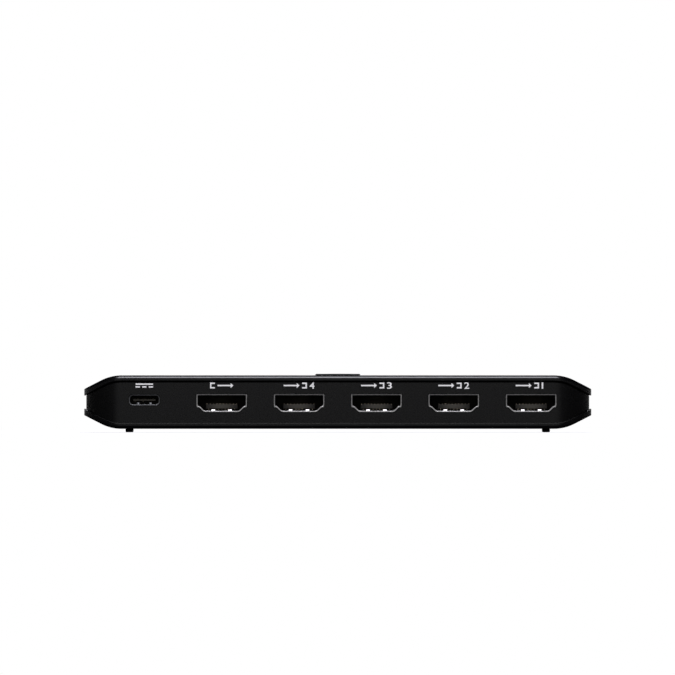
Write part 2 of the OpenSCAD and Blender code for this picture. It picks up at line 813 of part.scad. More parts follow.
module power_inlet_contacts() {
  y_front = power_tongue_y + contact_set_back;
  y_drop = power_back_y + contact_drop_gap;
  upper_z = power_z + power_tongue_t / 2;
  lower_z = power_z - power_tongue_t / 2 - contact_t;
  color("gold")
    translate([power_x, 0, 0])
      for (x = power_pair_x) {
        contact(x + contact_w, y_front, y_drop, upper_z);
        contact(x - contact_w, y_front, y_drop, lower_z);
      }
}

module power_inlet_riser() {
  front_y = board_gap - wall_y;
  color("#202020")
    translate([power_x - power_w / 2 + shell_t, front_y, deck_z])
      cube([power_w - 2 * shell_t, power_back_y - front_y, riser_h]);
}

module switch_chip() {
  color("#181818")
    translate([chip_x, chip_y, deck_z])
      linear_extrude(chip_h)
        difference() {
          square(chip_w, center = true);
          translate([-chip_w / 2, chip_w / 2]) rotate(45) square(chip_corner, center = true);
        }
}

module controller_chip() {
  lead = [controller_lead_w, controller_w + 2 * controller_lead_l, chip_lead_t];
  color("#181818") {
    block(crystal_x, controller_y, deck_z, [controller_l, controller_w, controller_h]);
    for (i = [0:9])
      block(crystal_x + (i - 4.5) * controller_lead_pitch, controller_y, deck_z, lead);
  }
}

module crystal_can() {
  end_r = crystal_w / 2 - seam;
  color("silver")
    translate([crystal_x, -crystal_w, deck_z])
      linear_extrude(crystal_h) round_rect(crystal_l, crystal_w, end_r);
}

module power_inductor() {
  groove_w = inductor_w / 8;
  groove_depth = inductor_h / 8;
  groove_d = inductor_w - 2 * groove_w;
  color("#333333")
    translate([power_part_x, inductor_y, deck_z])
      difference() {
        linear_extrude(inductor_h) round_rect(inductor_w, inductor_w, groove_w);
        translate([0, 0, inductor_h - groove_depth])
          difference() {
            cylinder(d = groove_d, h = past);
            cylinder(d = groove_d - 2 * groove_w, h = past);
          }
      }
}

module regulator() {
  tab = [regulator_tab_w, regulator_w / 2 + regulator_tab_l, chip_lead_t];
  lead = [regulator_lead_w, regulator_w / 2 + regulator_lead_l, chip_lead_t];
  color("#1b1b1b") {
    block(power_part_x, regulator_y, deck_z, [regulator_l, regulator_w, regulator_h]);
    block(power_part_x, regulator_y + tab[1] / 2, deck_z, tab);
    for (i = [-1:1])
      block(power_part_x + i * regulator_lead_pitch, regulator_y - lead[1] / 2, deck_z, lead);
  }
}

module bulk_capacitors() {
  base_h = can_h / 7;
  color("#b8bcc0")
    for (i = [0, 1])
      translate([power_part_x, can_y + i * can_pitch, deck_z]) {
        linear_extrude(base_h) square(can_d + 2 * fit, center = true);
        cylinder(d = can_d, h = can_h);
      }
}

module ceramic_capacitors() {
  row_y = chip_y + chip_w / 2 + row_gap + small_w;
  size = [small_l, small_w, small_w];
  color("#8a7a62") {
    for (i = [-3:3], row = [0, 1])
      block(chip_x + i * (small_l + row_gap / 2), row_y + row * (small_w + row_gap), deck_z, size);
    for (i = [0:2])
      block(power_part_x + inductor_w + small_l, inductor_y + i * (small_w + row_gap), deck_z, size);
  }
}

module chip_resistors() {
  size = [small_l, small_w, resistor_h];
  color("#151515") {
    for (x = video_x, i = [-1:1])
      block(x + i * (small_l + row_gap), resistor_y, deck_z, size);
    for (x = indicator_x)
      block(x, indicator_y - guide_d - row_gap, deck_z, size);
  }
}

module surge_arrays() {
  size = [surge_l, small_w, resistor_h];
  color("#101010")
    for (x = video_x, s = [-1, 1])
      block(x + s * (surge_l + row_gap) / 2, surge_y, deck_z, size);
}

module ir_receiver() {
  color("#1d1a1c")
    translate([sensor_x, receiver_face_y, sensor_z]) {
      block(0, -receiver_d / 2, -receiver_h / 2, [receiver_w, receiver_d, receiver_h]);
      intersection() {
        sphere(receiver_dome_r);
        block(0, receiver_dome_r - past, -receiver_dome_r, 2 * receiver_dome_r * [1, 1, 1]);
      }
    }
}

module ir_receiver_leads() {
  color("silver")
    for (x = receiver_lead_x)
      block(
        x, receiver_face_y - receiver_d / 2, leg_z,
        [receiver_lead_w, receiver_lead_w, receiver_base_z - leg_z]
      );
}

module status_leds() {
  color("ivory")
    for (x = indicator_x)
      block(x, indicator_y, deck_z, [small_l, small_w, led_h]);
}

module indicator_light_guide() {
  bar_z = roof_z - seam - guide_bar_t;
  rod_z = deck_z + led_h + fit;
  color("whitesmoke") {
    for (x = indicator_x)
      translate([x, indicator_y, rod_z]) cylinder(d = guide_d, h = top_z - rod_z);
    block(0, indicator_y, bar_z, [3 * indicator_pitch + guide_bar_w, guide_bar_w, guide_bar_t]);
  }
}

top_cover();
bottom_cover();
middle_frame();
ir_window();
foot_strip(-1);  // foot_strip_left
foot_strip(1);  // foot_strip_right
case_screws();
select_button();
tact_switch_base();
tact_switch_cover();
tact_switch_plunger();
tact_switch_dome();
tact_switch_terminals();
main_board();
video_shell(video_x[0]);  // video_out_shell
video_shell(video_x[1]);  // video_in_4_shell
video_shell(video_x[2]);  // video_in_3_shell
video_shell(video_x[3]);  // video_in_2_shell
video_shell(video_x[4]);  // video_in_1_shell
video_insulator(video_x[0]);  // video_out_insulator
video_insulator(video_x[1]);  // video_in_4_insulator
video_insulator(video_x[2]);  // video_in_3_insulator
video_insulator(video_x[3]);  // video_in_2_insulator
video_insulator(video_x[4]);  // video_in_1_insulator
video_contacts(video_x[0]);  // video_out_contacts
video_contacts(video_x[1]);  // video_in_4_contacts
video_contacts(video_x[2]);  // video_in_3_contacts
video_contacts(video_x[3]);  // video_in_2_contacts
video_contacts(video_x[4]);  // video_in_1_contacts
power_inlet_shell();
power_inlet_insulator();
power_inlet_contacts();
power_inlet_riser();
switch_chip();
controller_chip();
crystal_can();
power_inductor();
regulator();
bulk_capacitors();
ceramic_capacitors();
chip_resistors();
surge_arrays();
ir_receiver();
ir_receiver_leads();
status_leds();
indicator_light_guide();
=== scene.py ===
# Video switch box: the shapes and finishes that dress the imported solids.
# Metres, +Z up. Z = 0 is under the feet, the sockets face -Y, the remote sensor faces +Y.
import json
import math

import bmesh
import bpy
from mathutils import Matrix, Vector


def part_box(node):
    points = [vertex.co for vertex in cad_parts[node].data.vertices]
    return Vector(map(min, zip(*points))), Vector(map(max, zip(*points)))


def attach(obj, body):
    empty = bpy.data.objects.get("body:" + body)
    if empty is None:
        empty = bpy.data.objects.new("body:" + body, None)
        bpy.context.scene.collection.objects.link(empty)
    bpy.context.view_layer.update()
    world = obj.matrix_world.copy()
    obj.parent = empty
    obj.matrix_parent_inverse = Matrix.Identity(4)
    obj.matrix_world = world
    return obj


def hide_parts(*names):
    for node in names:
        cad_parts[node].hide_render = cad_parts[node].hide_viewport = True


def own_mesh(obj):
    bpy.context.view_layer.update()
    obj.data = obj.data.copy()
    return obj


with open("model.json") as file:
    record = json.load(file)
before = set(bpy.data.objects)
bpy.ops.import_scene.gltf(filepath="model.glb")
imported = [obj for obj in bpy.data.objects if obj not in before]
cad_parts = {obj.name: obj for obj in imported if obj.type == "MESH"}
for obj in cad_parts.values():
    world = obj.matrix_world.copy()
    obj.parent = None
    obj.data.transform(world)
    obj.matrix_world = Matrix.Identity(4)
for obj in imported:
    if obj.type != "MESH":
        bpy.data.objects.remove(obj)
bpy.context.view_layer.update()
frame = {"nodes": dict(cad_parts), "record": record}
scene = bpy.context.scene
SLOTS = {part["node"]: part["material_slot"] for part in frame["record"]["subparts"]}

MM = 0.001

# Case, read from the solids
top_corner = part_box("top_cover")[1]
frame_low, frame_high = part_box("middle_frame")
HALF_L = top_corner.x
HALF_D = top_corner.y
TOP_Z = top_corner.z
BASE_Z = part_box("bottom_cover")[0].z
MID_Z = (TOP_Z + BASE_Z) / 2
HALF_H = (TOP_Z - BASE_Z) / 2
OVERHANG = HALF_D - frame_high.y
MOUTH_Y = frame_low.y
FACE_Y = frame_high.y

# Case, as in the part's source
COVER_T = 1.7 * MM
END_HALF_H = 3.8 * MM
SLOPE_RUN = 7.8 * MM
BEND_R = 13 * MM
CORNER_R = 11 * MM
CORNER_STEPS = 20
FRAME_T = 2 * MM
SEAM = 0.05 * MM
FIT = 0.15 * MM
PAST = 1 * MM
SLOPE_A = math.atan2(HALF_H - END_HALF_H, SLOPE_RUN)
BEND_X = HALF_L - SLOPE_RUN - BEND_R * math.tan(SLOPE_A / 2)
ROOF_Z = TOP_Z - COVER_T
FLOOR_Z = BASE_Z + COVER_T
WALL_Y = FACE_Y - FRAME_T
DECK_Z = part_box("main_board")[1].z
BOARD_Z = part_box("main_board")[0].z

# Edges of a cover: three arcs from its flat to its side, each a radius and the slopes it runs between,
# which shrink towards the ends of the case, and a small bevel underneath
EDGE_ARCS = [(0.06 * MM, 90, 44), (1.6 * MM, 44, 8), (0.3 * MM, 8, 0)]
EDGE_STEPS = 6
EDGE_FADE = 0.8
EDGE_UNDER = 0.25 * MM

# Bevel along the top of the band, which leaves a dark line under the top cover
BAND_BEVEL = 0.4 * MM

# Screws, posts and ribs
SCREW_X = 44 * MM
SCREW_Y = (-14 * MM, 22 * MM)
SCREW_PLACES = [(s * SCREW_X, y) for s in (-1, 1) for y in SCREW_Y]
BOSS_R = 3.3 * MM
PILOT_R = 1.3 * MM
SCREW_HOLE_R = 1.4 * MM
SCREW_WELL_R = 2.4 * MM
SCREW_SEAT_Z = 2.85 * MM
RIB_HALF_L = 48 * MM
RIB_T = 1 * MM
RIB_H = 1.3 * MM

# Feet
FOOT_GROOVE = 0.5 * MM
FOOT_ROUND = 0.4 * MM

# Button and indicators; the crown's curve is given in shares of its radius and of its rise
BUTTON_R = 6.5 * MM
BUTTON_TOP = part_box("select_button")[1].z
BUTTON_WALL = 1.2 * MM
BUTTON_FLANGE = (1.1 * MM, 0.8 * MM)
BUTTON_STEM_R = 1.75 * MM
BUTTON_EDGE_R = 0.22 * MM
BUTTON_CROWN = 0.04 * MM
BUTTON_CROWN_CURVE = ((0.5, 0.3), (0.05, 0))
BUTTON_STEM_EYE = 0.1
HOLE_BEVEL = 0.2 * MM
LIGHT_X = [i * 4.5 * MM for i in (-3, -1, 1, 3)]
LIGHT_Y = 20 * MM
LIGHT_HOLE_R = 1.15 * MM
DOME_T = 0.12 * MM

# Sockets; the noses of springs and tongues are given in shares of their length and of their size
PORTS = ("video_out", "video_in_4", "video_in_3", "video_in_2", "video_in_1")
PORT_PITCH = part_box("video_in_1_shell")[0].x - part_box("video_in_2_shell")[0].x
SHELL_T = 0.3 * MM
LIP_R = 0.05 * MM
LIP_TILT = math.radians(4)
LIP_EDGE = 0.03 * MM
VIDEO_HALF_W = 7 * MM
VIDEO_H = 4.55 * MM
VIDEO_SIDE_H = 3.15 * MM
VIDEO_STEP = 0.6 * MM
VIDEO_ROUNDS = (0.3 * MM, 0.9 * MM, 0.45 * MM, 0.6 * MM)
SPRING_X = 2.45 * MM
SPRING_W = 0.95 * MM
SPRING_H = 0.42 * MM
SPRING_START = 0.1 * MM
SPRING_L = 1 * MM
SPRING_T = 0.2 * MM
SPRING_LEAN = math.radians(14)
SPRING_ROUND = 0.12 * MM
POWER_HALF_W = 4.17 * MM
POWER_HALF_H = 1.28 * MM
POWER_R = 0.9 * MM
POWER_SPRING_X = 1.775 * MM
POWER_SPRING_R = 0.55 * MM
POWER_SPRING_L = 0.8 * MM
POWER_SPRING_NOSE = ((0, 0.55), (0.04, 0.8), (0.12, 0.95), (0.25, 1), (1, 1))
VIDEO_TONGUE = (9.15 * MM, 1.4 * MM)
VIDEO_TONGUE_RISE = 0.55 * MM
VIDEO_BLOCK_D = 3.5 * MM
POWER_TONGUE = (6.5 * MM, 0.55 * MM)
TONGUE_NOSE = ((0, 0.9), (0.2, 0.5), (0.55, 0.16), (1, 0))
POWER_BLOCK_D = 2.4 * MM
LEG_W = 1.2 * MM
LEG_LOW_Z = BOARD_Z - 0.8 * MM
VIDEO_LEGS = (4.6 * MM, 9.4 * MM)
POWER_LEGS = (3.6 * MM, 6.1 * MM)

# Sensor window; the curve of its dish ends a part of a step before the middle
WINDOW_R = 3.4 * MM
WINDOW_RECESS = 0.35 * MM
WINDOW_DISH = 0.12 * MM
WINDOW_BEVEL = 0.4 * MM
WINDOW_FLANGE_T = 0.8 * MM
WINDOW_EYE_STEP = 0.2

# Printed marks; a numeral's weight and weld are in the font's own units, and one narrower than the least
# share of the width isn't spread over all of it
MARK_Z = 13.55 * MM
MARK_H = 1.7 * MM
MARK_LINE = 0.4 * MM
MARK_GAP = 0.75 * MM
ARROW_W = 4.6 * MM
ARROW_HEAD_H = 0.42 * MARK_H
ARROW_HEAD_L = 1.1 * ARROW_HEAD_H
BRACKET_W = 1.4 * MM
NUMERAL_W = 1.45 * MM
NUMERAL_H = 1.9 * MM
NUMERAL_WEIGHT = 0.012
NUMERAL_WELD = 0.008
NUMERAL_FLAT_ANGLE = math.radians(1)
NUMERAL_LEAST = 0.7
DASH_W = 1.25 * MM
DASH_GAP = 0.65 * MM
INK_T = 0.015 * MM
INK_SINK = 0.01 * MM

# Rounds and turned pieces: steps of a quarter round and of a shallow dish, the share of an edge that a round
# may take, and the small flat face in the middle of a turned end, as a share of its radius
SMOOTH_ANGLE = math.radians(32)
ROUND_STEPS = 6
DISH_STEPS = 12
ROUND_REACH = 0.48
EYE = 0.02

# Solids that show as they are
SOFT_EDGE = 0.06 * MM
SOFT_STEPS = 2
SOFT_ANGLE = math.radians(40)
CAD_WELD = 0.001 * MM
EDGE_WELD = 0.002 * MM


# Colour and node helpers
def tone(hex_colour):
    """An sRGB hex colour as linear RGBA."""
    parts = [int(hex_colour[i:i + 2], 16) / 255 for i in (1, 3, 5)]
    return [p / 12.92 if p <= 0.04045 else ((p + 0.055) / 1.055) ** 2.4 for p in parts] + [1.0]


def add_node(tree, kind, inputs=None, **settings):
    """Adds a node with its settings; an input takes a value or another node's output."""
    made = tree.nodes.new(kind)
    for name, value in settings.items():
        setattr(made, name, value)
    for name, value in (inputs or {}).items():
        if isinstance(value, bpy.types.NodeSocket):
            tree.links.new(value, made.inputs[name])
        else:
            made.inputs[name].default_value = value
    return made


def new_finish(name):
    """An empty node material, its tree and its object coordinates, which are in metres."""
    made = bpy.data.materials.new(name)
    made.use_nodes = True
    made.node_tree.nodes.clear()
    place = add_node(made.node_tree, "ShaderNodeTexCoord").outputs["Object"]
    return made, made.node_tree, place


def moulded_plastic(name, dark, light, grain, roughness, ior, gloss=0.5, relief=0.05):
    """Plastic from a textured tool: a fine even grain that blurs what it mirrors, and whose pits dull it."""
    made, tree, place = new_finish(name)
    pits = add_node(tree, "ShaderNodeTexNoise", {"Vector": place, "Scale": 1 / grain, "Detail": 2.0})
    flow = add_node(tree, "ShaderNodeTexNoise", {"Vector": place, "Scale": 1 / (40 * grain), "Detail": 3.0})
    colour = add_node(
        tree, "ShaderNodeMix", {0: flow.outputs["Fac"], 6: tone(dark), 7: tone(light)}, data_type="RGBA")
    rough = add_node(tree, "ShaderNodeMapRange", {
        "Value": pits.outputs["Fac"], "From Min": 0.3, "From Max": 0.7,
        "To Min": roughness - 0.04, "To Max": roughness + 0.04})
    bump = add_node(tree, "ShaderNodeBump", {
        "Height": pits.outputs["Fac"], "Strength": 0.35, "Distance": relief * grain})
    surface = add_node(tree, "ShaderNodeBsdfPrincipled", {
        "Base Color": colour.outputs[2], "Roughness": rough.outputs[0], "IOR": ior,
        "Specular IOR Level": gloss, "Normal": bump.outputs["Normal"]})
    add_node(tree, "ShaderNodeOutputMaterial", {"Surface": surface.outputs["BSDF"]})
    return made


def plated_sheet(name, dark, light, roughness, line):
    """Rolled and plated metal sheet: faint rolling lines along its length and a soft mirror."""
    made, tree, place = new_finish(name)
    along = add_node(tree, "ShaderNodeMapping", {"Vector": place, "Scale": (1.0, 0.06, 1.0)})
    lines = add_node(tree, "ShaderNodeTexNoise", {
        "Vector": along.outputs[0], "Scale": 1 / line, "Detail": 3.0})
    colour = add_node(
        tree, "ShaderNodeMix", {0: lines.outputs["Fac"], 6: tone(dark), 7: tone(light)}, data_type="RGBA")
    rough = add_node(tree, "ShaderNodeMapRange", {
        "Value": lines.outputs["Fac"], "From Min": 0.3, "From Max": 0.7,
        "To Min": roughness - 0.06, "To Max": roughness + 0.06})
    bump = add_node(tree, "ShaderNodeBump", {
        "Height": lines.outputs["Fac"], "Strength": 0.2, "Distance": line / 20})
    surface = add_node(tree, "ShaderNodeBsdfPrincipled", {
        "Base Color": colour.outputs[2], "Metallic": 1.0, "Roughness": rough.outputs[0],
        "Normal": bump.outputs["Normal"]})
    add_node(tree, "ShaderNodeOutputMaterial", {"Surface": surface.outputs["BSDF"]})
    return made


def nylon_painted_shade(name, dark, light):
    """Moulded nylon tongue, matt, with painted light and shade: dark at its sides, where the shell shades it,
    and paler in the middle, where light comes in.
    """
    made, tree, place = new_finish(name)
    # Painted light and shade, in waves along the row of sockets: paler at the crests, in the middle of the
    # tongues, and dark at their sides
    painted_shade_band = add_node(tree, "ShaderNodeTexWave", {"Vector": place, "Scale": math.pi / (10 * PORT_PITCH)})
    share = add_node(tree, "ShaderNodeMapRange", {
        "Value": painted_shade_band.outputs["Fac"], "From Min": 0.74, "From Max": 1.0})
    colour = add_node(
        tree, "ShaderNodeMix", {0: share.outputs[0], 6: tone(dark), 7: tone(light)}, data_type="RGBA")
    grain = add_node(tree, "ShaderNodeTexNoise", {"Vector": place, "Scale": 1 / (0.15 * MM), "Detail": 2.0})
    rough = add_node(tree, "ShaderNodeMapRange", {
        "Value": grain.outputs["Fac"], "To Min": 0.6, "To Max": 0.8})
    bump = add_node(tree, "ShaderNodeBump", {
        "Height": grain.outputs["Fac"], "Strength": 0.35, "Distance": 0.008 * MM})
    surface = add_node(tree, "ShaderNodeBsdfPrincipled", {
        "Base Color": colour.outputs[2], "Roughness": rough.outputs[0], "IOR": 1.53,
        "Specular IOR Level": 0.15, "Normal": bump.outputs["Normal"]})
    add_node(tree, "ShaderNodeOutputMaterial", {"Surface": surface.outputs["BSDF"]})
    return made


def solder_masked_board(name):
    """Glass-epoxy board under green solder mask: the weave prints through, and traces show as paler lines."""
    made, tree, place = new_finish(name)
    weave = add_node(tree, "ShaderNodeTexChecker", {"Vector": place, "Scale": 1 / (0.5 * MM)})
    traces = add_node(tree, "ShaderNodeTexBrick", {
        "Vector": place, "Scale": 1 / (2.5 * MM), "Color1": tone("#0d3b24"), "Color2": tone("#0f4229"),
        "Mortar": tone("#1b5a3a"), "Mortar Size": 0.06})
    bump = add_node(tree, "ShaderNodeBump", {
        "Height": weave.outputs["Fac"], "Strength": 0.15, "Distance": 0.01 * MM})
    surface = add_node(tree, "ShaderNodeBsdfPrincipled", {
        "Base Color": traces.outputs["Color"], "Roughness": 0.3, "IOR": 1.55,
        "Normal": bump.outputs["Normal"]})
    add_node(tree, "ShaderNodeOutputMaterial", {"Surface": surface.outputs["BSDF"]})
    return made


def frosted_acrylic(name):
    """Clear acrylic rod with a frosted tip: it glows pale where light comes through it."""
    made, tree, place = new_finish(name)
    frost = add_node(tree, "ShaderNodeTexNoise", {"Vector": place, "Scale": 1 / (0.12 * MM), "Detail": 2.0})
    rough = add_node(tree, "ShaderNodeMapRange", {
        "Value": frost.outputs["Fac"], "To Min": 0.35, "To Max": 0.65})
    bump = add_node(tree, "ShaderNodeBump", {
        "Height": frost.outputs["Fac"], "Strength": 0.3, "Distance": 0.005 * MM})
    surface = add_node(tree, "ShaderNodeBsdfPrincipled", {
        "Base Color": tone("#c9cdcf"), "Roughness": rough.outputs[0], "IOR": 1.49,
        "Transmission Weight": 0.35, "Normal": bump.outputs["Normal"]})
    add_node(tree, "ShaderNodeOutputMaterial", {"Surface": surface.outputs["BSDF"]})
    return made


# Finishes, by the record's slots
FINISHES = {
    # ABS from a smooth tool: black edges that mirror a lamp as a soft streak
    "cover_plastic": moulded_plastic(
        "moulded_black_abs", "#070708", "#09090a", 0.22 * MM, 0.2, 1.53, 0.36),
    # ABS from a finely textured tool: an even near-black wall with a faint sheen
    "frame_plastic": moulded_plastic(
        "moulded_black_abs_band", "#070707", "#090909", 0.22 * MM, 0.28, 1.53, 0.3),
    # ABS from a satin tool: plain black that hardly shines
    "button_plastic": moulded_plastic(
        "satin_black_abs", "#070708", "#09090a", 0.3 * MM, 0.4, 1.53, 0.1),
    # Acrylic from a polished tool, dyed for infrared: nearly black, with one clear highlight
    "smoked_acrylic": moulded_plastic(
        "polished_smoked_acrylic", "#0a0809", "#0c0a0b", 0.8 * MM, 0.24, 1.49, 0.3),
    # Rubber from a plain tool: dull dark grey that takes no highlight
    "foot_rubber": moulded_plastic("moulded_black_rubber", "#121213", "#171718", 0.3 * MM, 0.75, 1.52),
    # Turned steel under black zinc: dark metal with a soft glint
    "screw_steel": plated_sheet("black_zinc_steel", "#2a2a2d", "#3a3a3e", 0.4, 0.15 * MM),
    # Drawn steel sheet under nickel: thin bright rims
    "socket_steel": plated_sheet("nickel_plated_steel", "#b4b3b2", "#c7c6c5", 0.3, 0.12 * MM),
    # Drawn steel sheet under tin that has dulled: grey metal, darker than the nickel
    "tinned_steel": plated_sheet("dark_tin_plated_steel", "#5e5f61", "#6f7072", 0.36, 0.12 * MM),
    # Pressed spring steel under a yellowish plating: a warm metal dome
    "spring_steel": plated_sheet("plated_spring_steel", "#a3946b", "#b5a67d", 0.3, 0.1 * MM),
    # Moulded nylon: matt brownish black
    "insulator_plastic": moulded_plastic(
        "moulded_dark_nylon", "#37352f", "#3d3b35", 0.15 * MM, 0.7, 1.53, 0.15),
    # Stamped copper alloy under a flash of gold: dull yellow lines in a dark socket
    "contact_gold": plated_sheet("gold_flashed_contact", "#7f7664", "#928976", 0.3, 0.08 * MM),
    # Glass-epoxy laminate under solder mask: glossy green with paler traces
    "board_laminate": solder_masked_board("solder_masked_glass_epoxy"),
    # Epoxy moulded round a chip: matt charcoal
    "chip_epoxy": moulded_plastic("moulded_black_epoxy", "#161617", "#1c1c1d", 0.1 * MM, 0.6, 1.55),
    # Drawn aluminium: bright cans with soft streaks
    "can_aluminium": plated_sheet("drawn_aluminium_can", "#b4b6b9", "#c8cacd", 0.3, 0.2 * MM),
    # Fired ceramic: small matt tan blocks
    "ceramic_body": moulded_plastic("fired_tan_ceramic", "#8a765d", "#97836a", 0.1 * MM, 0.55, 1.6),
    # Resin cast on a white base: pale and glossy
    "led_lens": moulded_plastic("cast_led_resin", "#e4e2d3", "#ecebdf", 0.1 * MM, 0.25, 1.5),
    # Acrylic rods with frosted tips: pale dots in the top cover
    "clear_acrylic": frosted_acrylic("frosted_acrylic"),
}
# The flats of the covers have a spark-eroded texture, drawn coarser than the real 0.1 mm so that it shows
COVER_FACE = moulded_plastic(
    "spark_textured_black_abs", "#0c0c0d", "#0f0f10", 0.4 * MM, 0.6, 1.53, 0.3, 0.1)
# Tongues with painted shade, darker at their sides and paler in the middle, and the white ink of the marks,
# which lies flat and matt on the band
TONGUE_NYLON_PAINTED_SHADE = nylon_painted_shade("dark_nylon_painted_shade", "#1f1e1b", "#3d3b35")
PRINT_INK = moulded_plastic("screen_printed_white_ink", "#f4f4f2", "#fafaf8", 0.12 * MM, 0.6, 1.5)


# Mesh helpers
def skin(mesh, loops, ring=False):
    """Joins loops of equal length with quads; a ring also joins the last loop to the first."""
    rows = [[mesh.verts.new(point) for point in loop] for loop in loops]
    pairs = list(zip(rows, rows[1:])) + ([(rows[-1], rows[0])] if ring else [])
    for low, high in pairs:
        for i in range(len(low)):
            j = (i + 1) % len(low)
            mesh.faces.new((low[i], low[j], high[j], high[i]))
    return rows


def closed_skin(mesh, loops):
    """A skin with a flat face over its first and last loop."""
    rows = skin(mesh, loops)
    mesh.faces.new(rows[0][::-1])
    mesh.faces.new(rows[-1])


def turned(mesh, centre, profile, axis="z", steps=64):
    """A closed round solid from (radius, distance along the axis) pairs; the ends are flat faces."""
    loops = []
    for radius, along in profile:
        loop = []
        for i in range(steps):
            a = 2 * math.pi * i / steps
            u, v = radius * math.cos(a), radius * math.sin(a)
            offset = (u, v, along) if axis == "z" else (u, along, -v)
            loop.append(Vector(centre) + Vector(offset))
        loops.append(loop)
    closed_skin(mesh, loops)


def tube(mesh, centre, outer, inner, low, high, steps=40):
    """An upright tube."""
    loops = []
    for radius, z in ((outer, low), (outer, high), (inner, high), (inner, low)):
        loops.append([
            (centre[0] + radius * math.cos(2 * math.pi * i / steps),
             centre[1] + radius * math.sin(2 * math.pi * i / steps), z) for i in range(steps)])
    skin(mesh, loops, ring=True)


def bar(mesh, low, high, bevel):
    """A straight bar between two corners, with its upright and level edges bevelled."""
    loops = []
    for z, inset in ((low[2], bevel), (low[2] + bevel, 0), (high[2] - bevel, 0), (high[2], bevel)):
        x0, y0, x1, y1 = low[0] + inset, low[1] + inset, high[0] - inset, high[1] - inset
        loops.append([
            (x0 + bevel, y0, z), (x1 - bevel, y0, z), (x1, y0 + bevel, z), (x1, y1 - bevel, z),
            (x1 - bevel, y1, z), (x0 + bevel, y1, z), (x0, y1 - bevel, z), (x0, y0 + bevel, z)])
    closed_skin(mesh, loops)


def rounded(points, rounds, steps=4):
    """Turns each corner of a closed outline into a short curve that starts about one round before it."""
    curve = []
    for i, corner in enumerate(points):
        here = Vector(corner)
        to_last = Vector(points[i - 1]) - here
        to_next = Vector(points[(i + 1) % len(points)]) - here
        start = here + to_last.normalized() * min(rounds[i], ROUND_REACH * to_last.length)
        end = here + to_next.normalized() * min(rounds[i], ROUND_REACH * to_next.length)
        for k in range(steps + 1):
            t = k / steps
            curve.append(start * (1 - t) ** 2 + here * 2 * t * (1 - t) + end * t * t)
    return curve


def quarter_turns():
    """Angles of a quarter round, from 0 to a right angle."""
    return [math.pi / 2 * i / ROUND_STEPS for i in range(ROUND_STEPS + 1)]


def block(mesh, outline, x, z, front_y, back_y):
    """A closed straight block along Y, with an outline in X and Z that is placed at x and z."""
    closed_skin(mesh, [[(x + u, y, z + w) for u, w in outline] for y in (front_y, back_y)])


def new_object(name, mesh):
    """Puts a finished bmesh into the scene."""
    bmesh.ops.recalc_face_normals(mesh, faces=mesh.faces)
    data = bpy.data.meshes.new(name)
    mesh.to_mesh(data)
    mesh.free()
    made = bpy.data.objects.new(name, data)
    scene.collection.objects.link(made)
    return made


def cut_out(made, cutter):
    """Cuts closed shapes out of a piece."""
    tool = new_object(made.name + "_cutter", cutter)
    step = made.modifiers.new("cut", "BOOLEAN")
    step.operation = "DIFFERENCE"
    step.solver = "EXACT"
    step.object = tool
    result = bpy.data.meshes.new_from_object(made.evaluated_get(bpy.context.evaluated_depsgraph_get()))
    made.modifiers.clear()
    made.data = result
    bpy.data.objects.remove(tool)


def put_in(made, added):
    """Puts closed shapes, such as ribs and posts, into the mesh of a piece."""
    more = bpy.data.meshes.new(made.name + "_more")
    bmesh.ops.recalc_face_normals(added, faces=added.faces)
    added.to_mesh(more)
    added.free()
    both = bmesh.new()
    both.from_mesh(made.data)
    both.from_mesh(more)
    both.to_mesh(made.data)
    both.free()
    bpy.data.meshes.remove(more)


REPLACED = set()


def piece(name, mesh, *finishes, body="case", nodes=(), cutter=None, added=None):
    """Makes a piece of the object: shapes and shades it, and ties it to its body and solids."""
    made = new_object(name, mesh)
    for finish in finishes:
        made.data.materials.append(finish)
    if cutter is not None:
        cut_out(made, cutter)
    if added is not None:
        put_in(made, added)
    made.data.name = name
    made.data.shade_smooth()
    made.data.set_sharp_from_angle(angle=SMOOTH_ANGLE)
    even = made.modifiers.new("even_shading", "WEIGHTED_NORMAL")
    even.keep_sharp = True
    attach(made, body)
    if nodes:
        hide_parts(*nodes)
        REPLACED.update(nodes)
    return made


# Case outline
def cover_rise(x, depth):
    """Height of a cover above the middle of the case at x, at a depth below its outer face."""
    reach = abs(x) - BEND_X
    radius = BEND_R - depth
    bend_z = HALF_H - BEND_R
    if reach <= 0:
        return HALF_H - depth
    if reach < radius * math.sin(SLOPE_A):
        return bend_z + math.sqrt(radius ** 2 - reach ** 2)
    return bend_z + radius * math.cos(SLOPE_A) - (reach - radius * math.sin(SLOPE_A)) * math.tan(SLOPE_A)


def plan_turns():
    """The case from above, as corner middles and angles: the sensor side right to left, then back."""
    half = []
    for side, first in ((1, 0.0), (-1, math.pi / 2)):
        for i in range(CORNER_STEPS + 1):
            a = first + math.pi / 2 * i / CORNER_STEPS
            half.append((side * (HALF_L - CORNER_R), HALF_D - CORNER_R, a))
    return half + [(x, -y, -a) for x, y, a in reversed(half)]


PLAN = plan_turns()


def cover_loop(inset, depth, lift, side, fade=0.0):
    """A loop on a cover: inset in plan, at a depth below its outer face, lifted, and faded at the ends."""
    loop = []
    for corner_x, corner_y, a in PLAN:
        share = 1 - fade * (1 - abs(math.sin(a)))
        x = corner_x + (CORNER_R - inset * share) * math.cos(a)
        y = corner_y + (CORNER_R - inset * share) * math.sin(a)
        loop.append((x, y, MID_Z + side * (cover_rise(x, depth) + lift * share)))
    return loop


def ladder(mesh, row, finish=0):
    """Fills a plan loop with rungs from its sensor side to its socket side."""
    half = len(row) // 2
    for i in range(half - 1):
        mesh.faces.new((row[i], row[i + 1], row[-2 - i], row[-1 - i])).material_index = finish


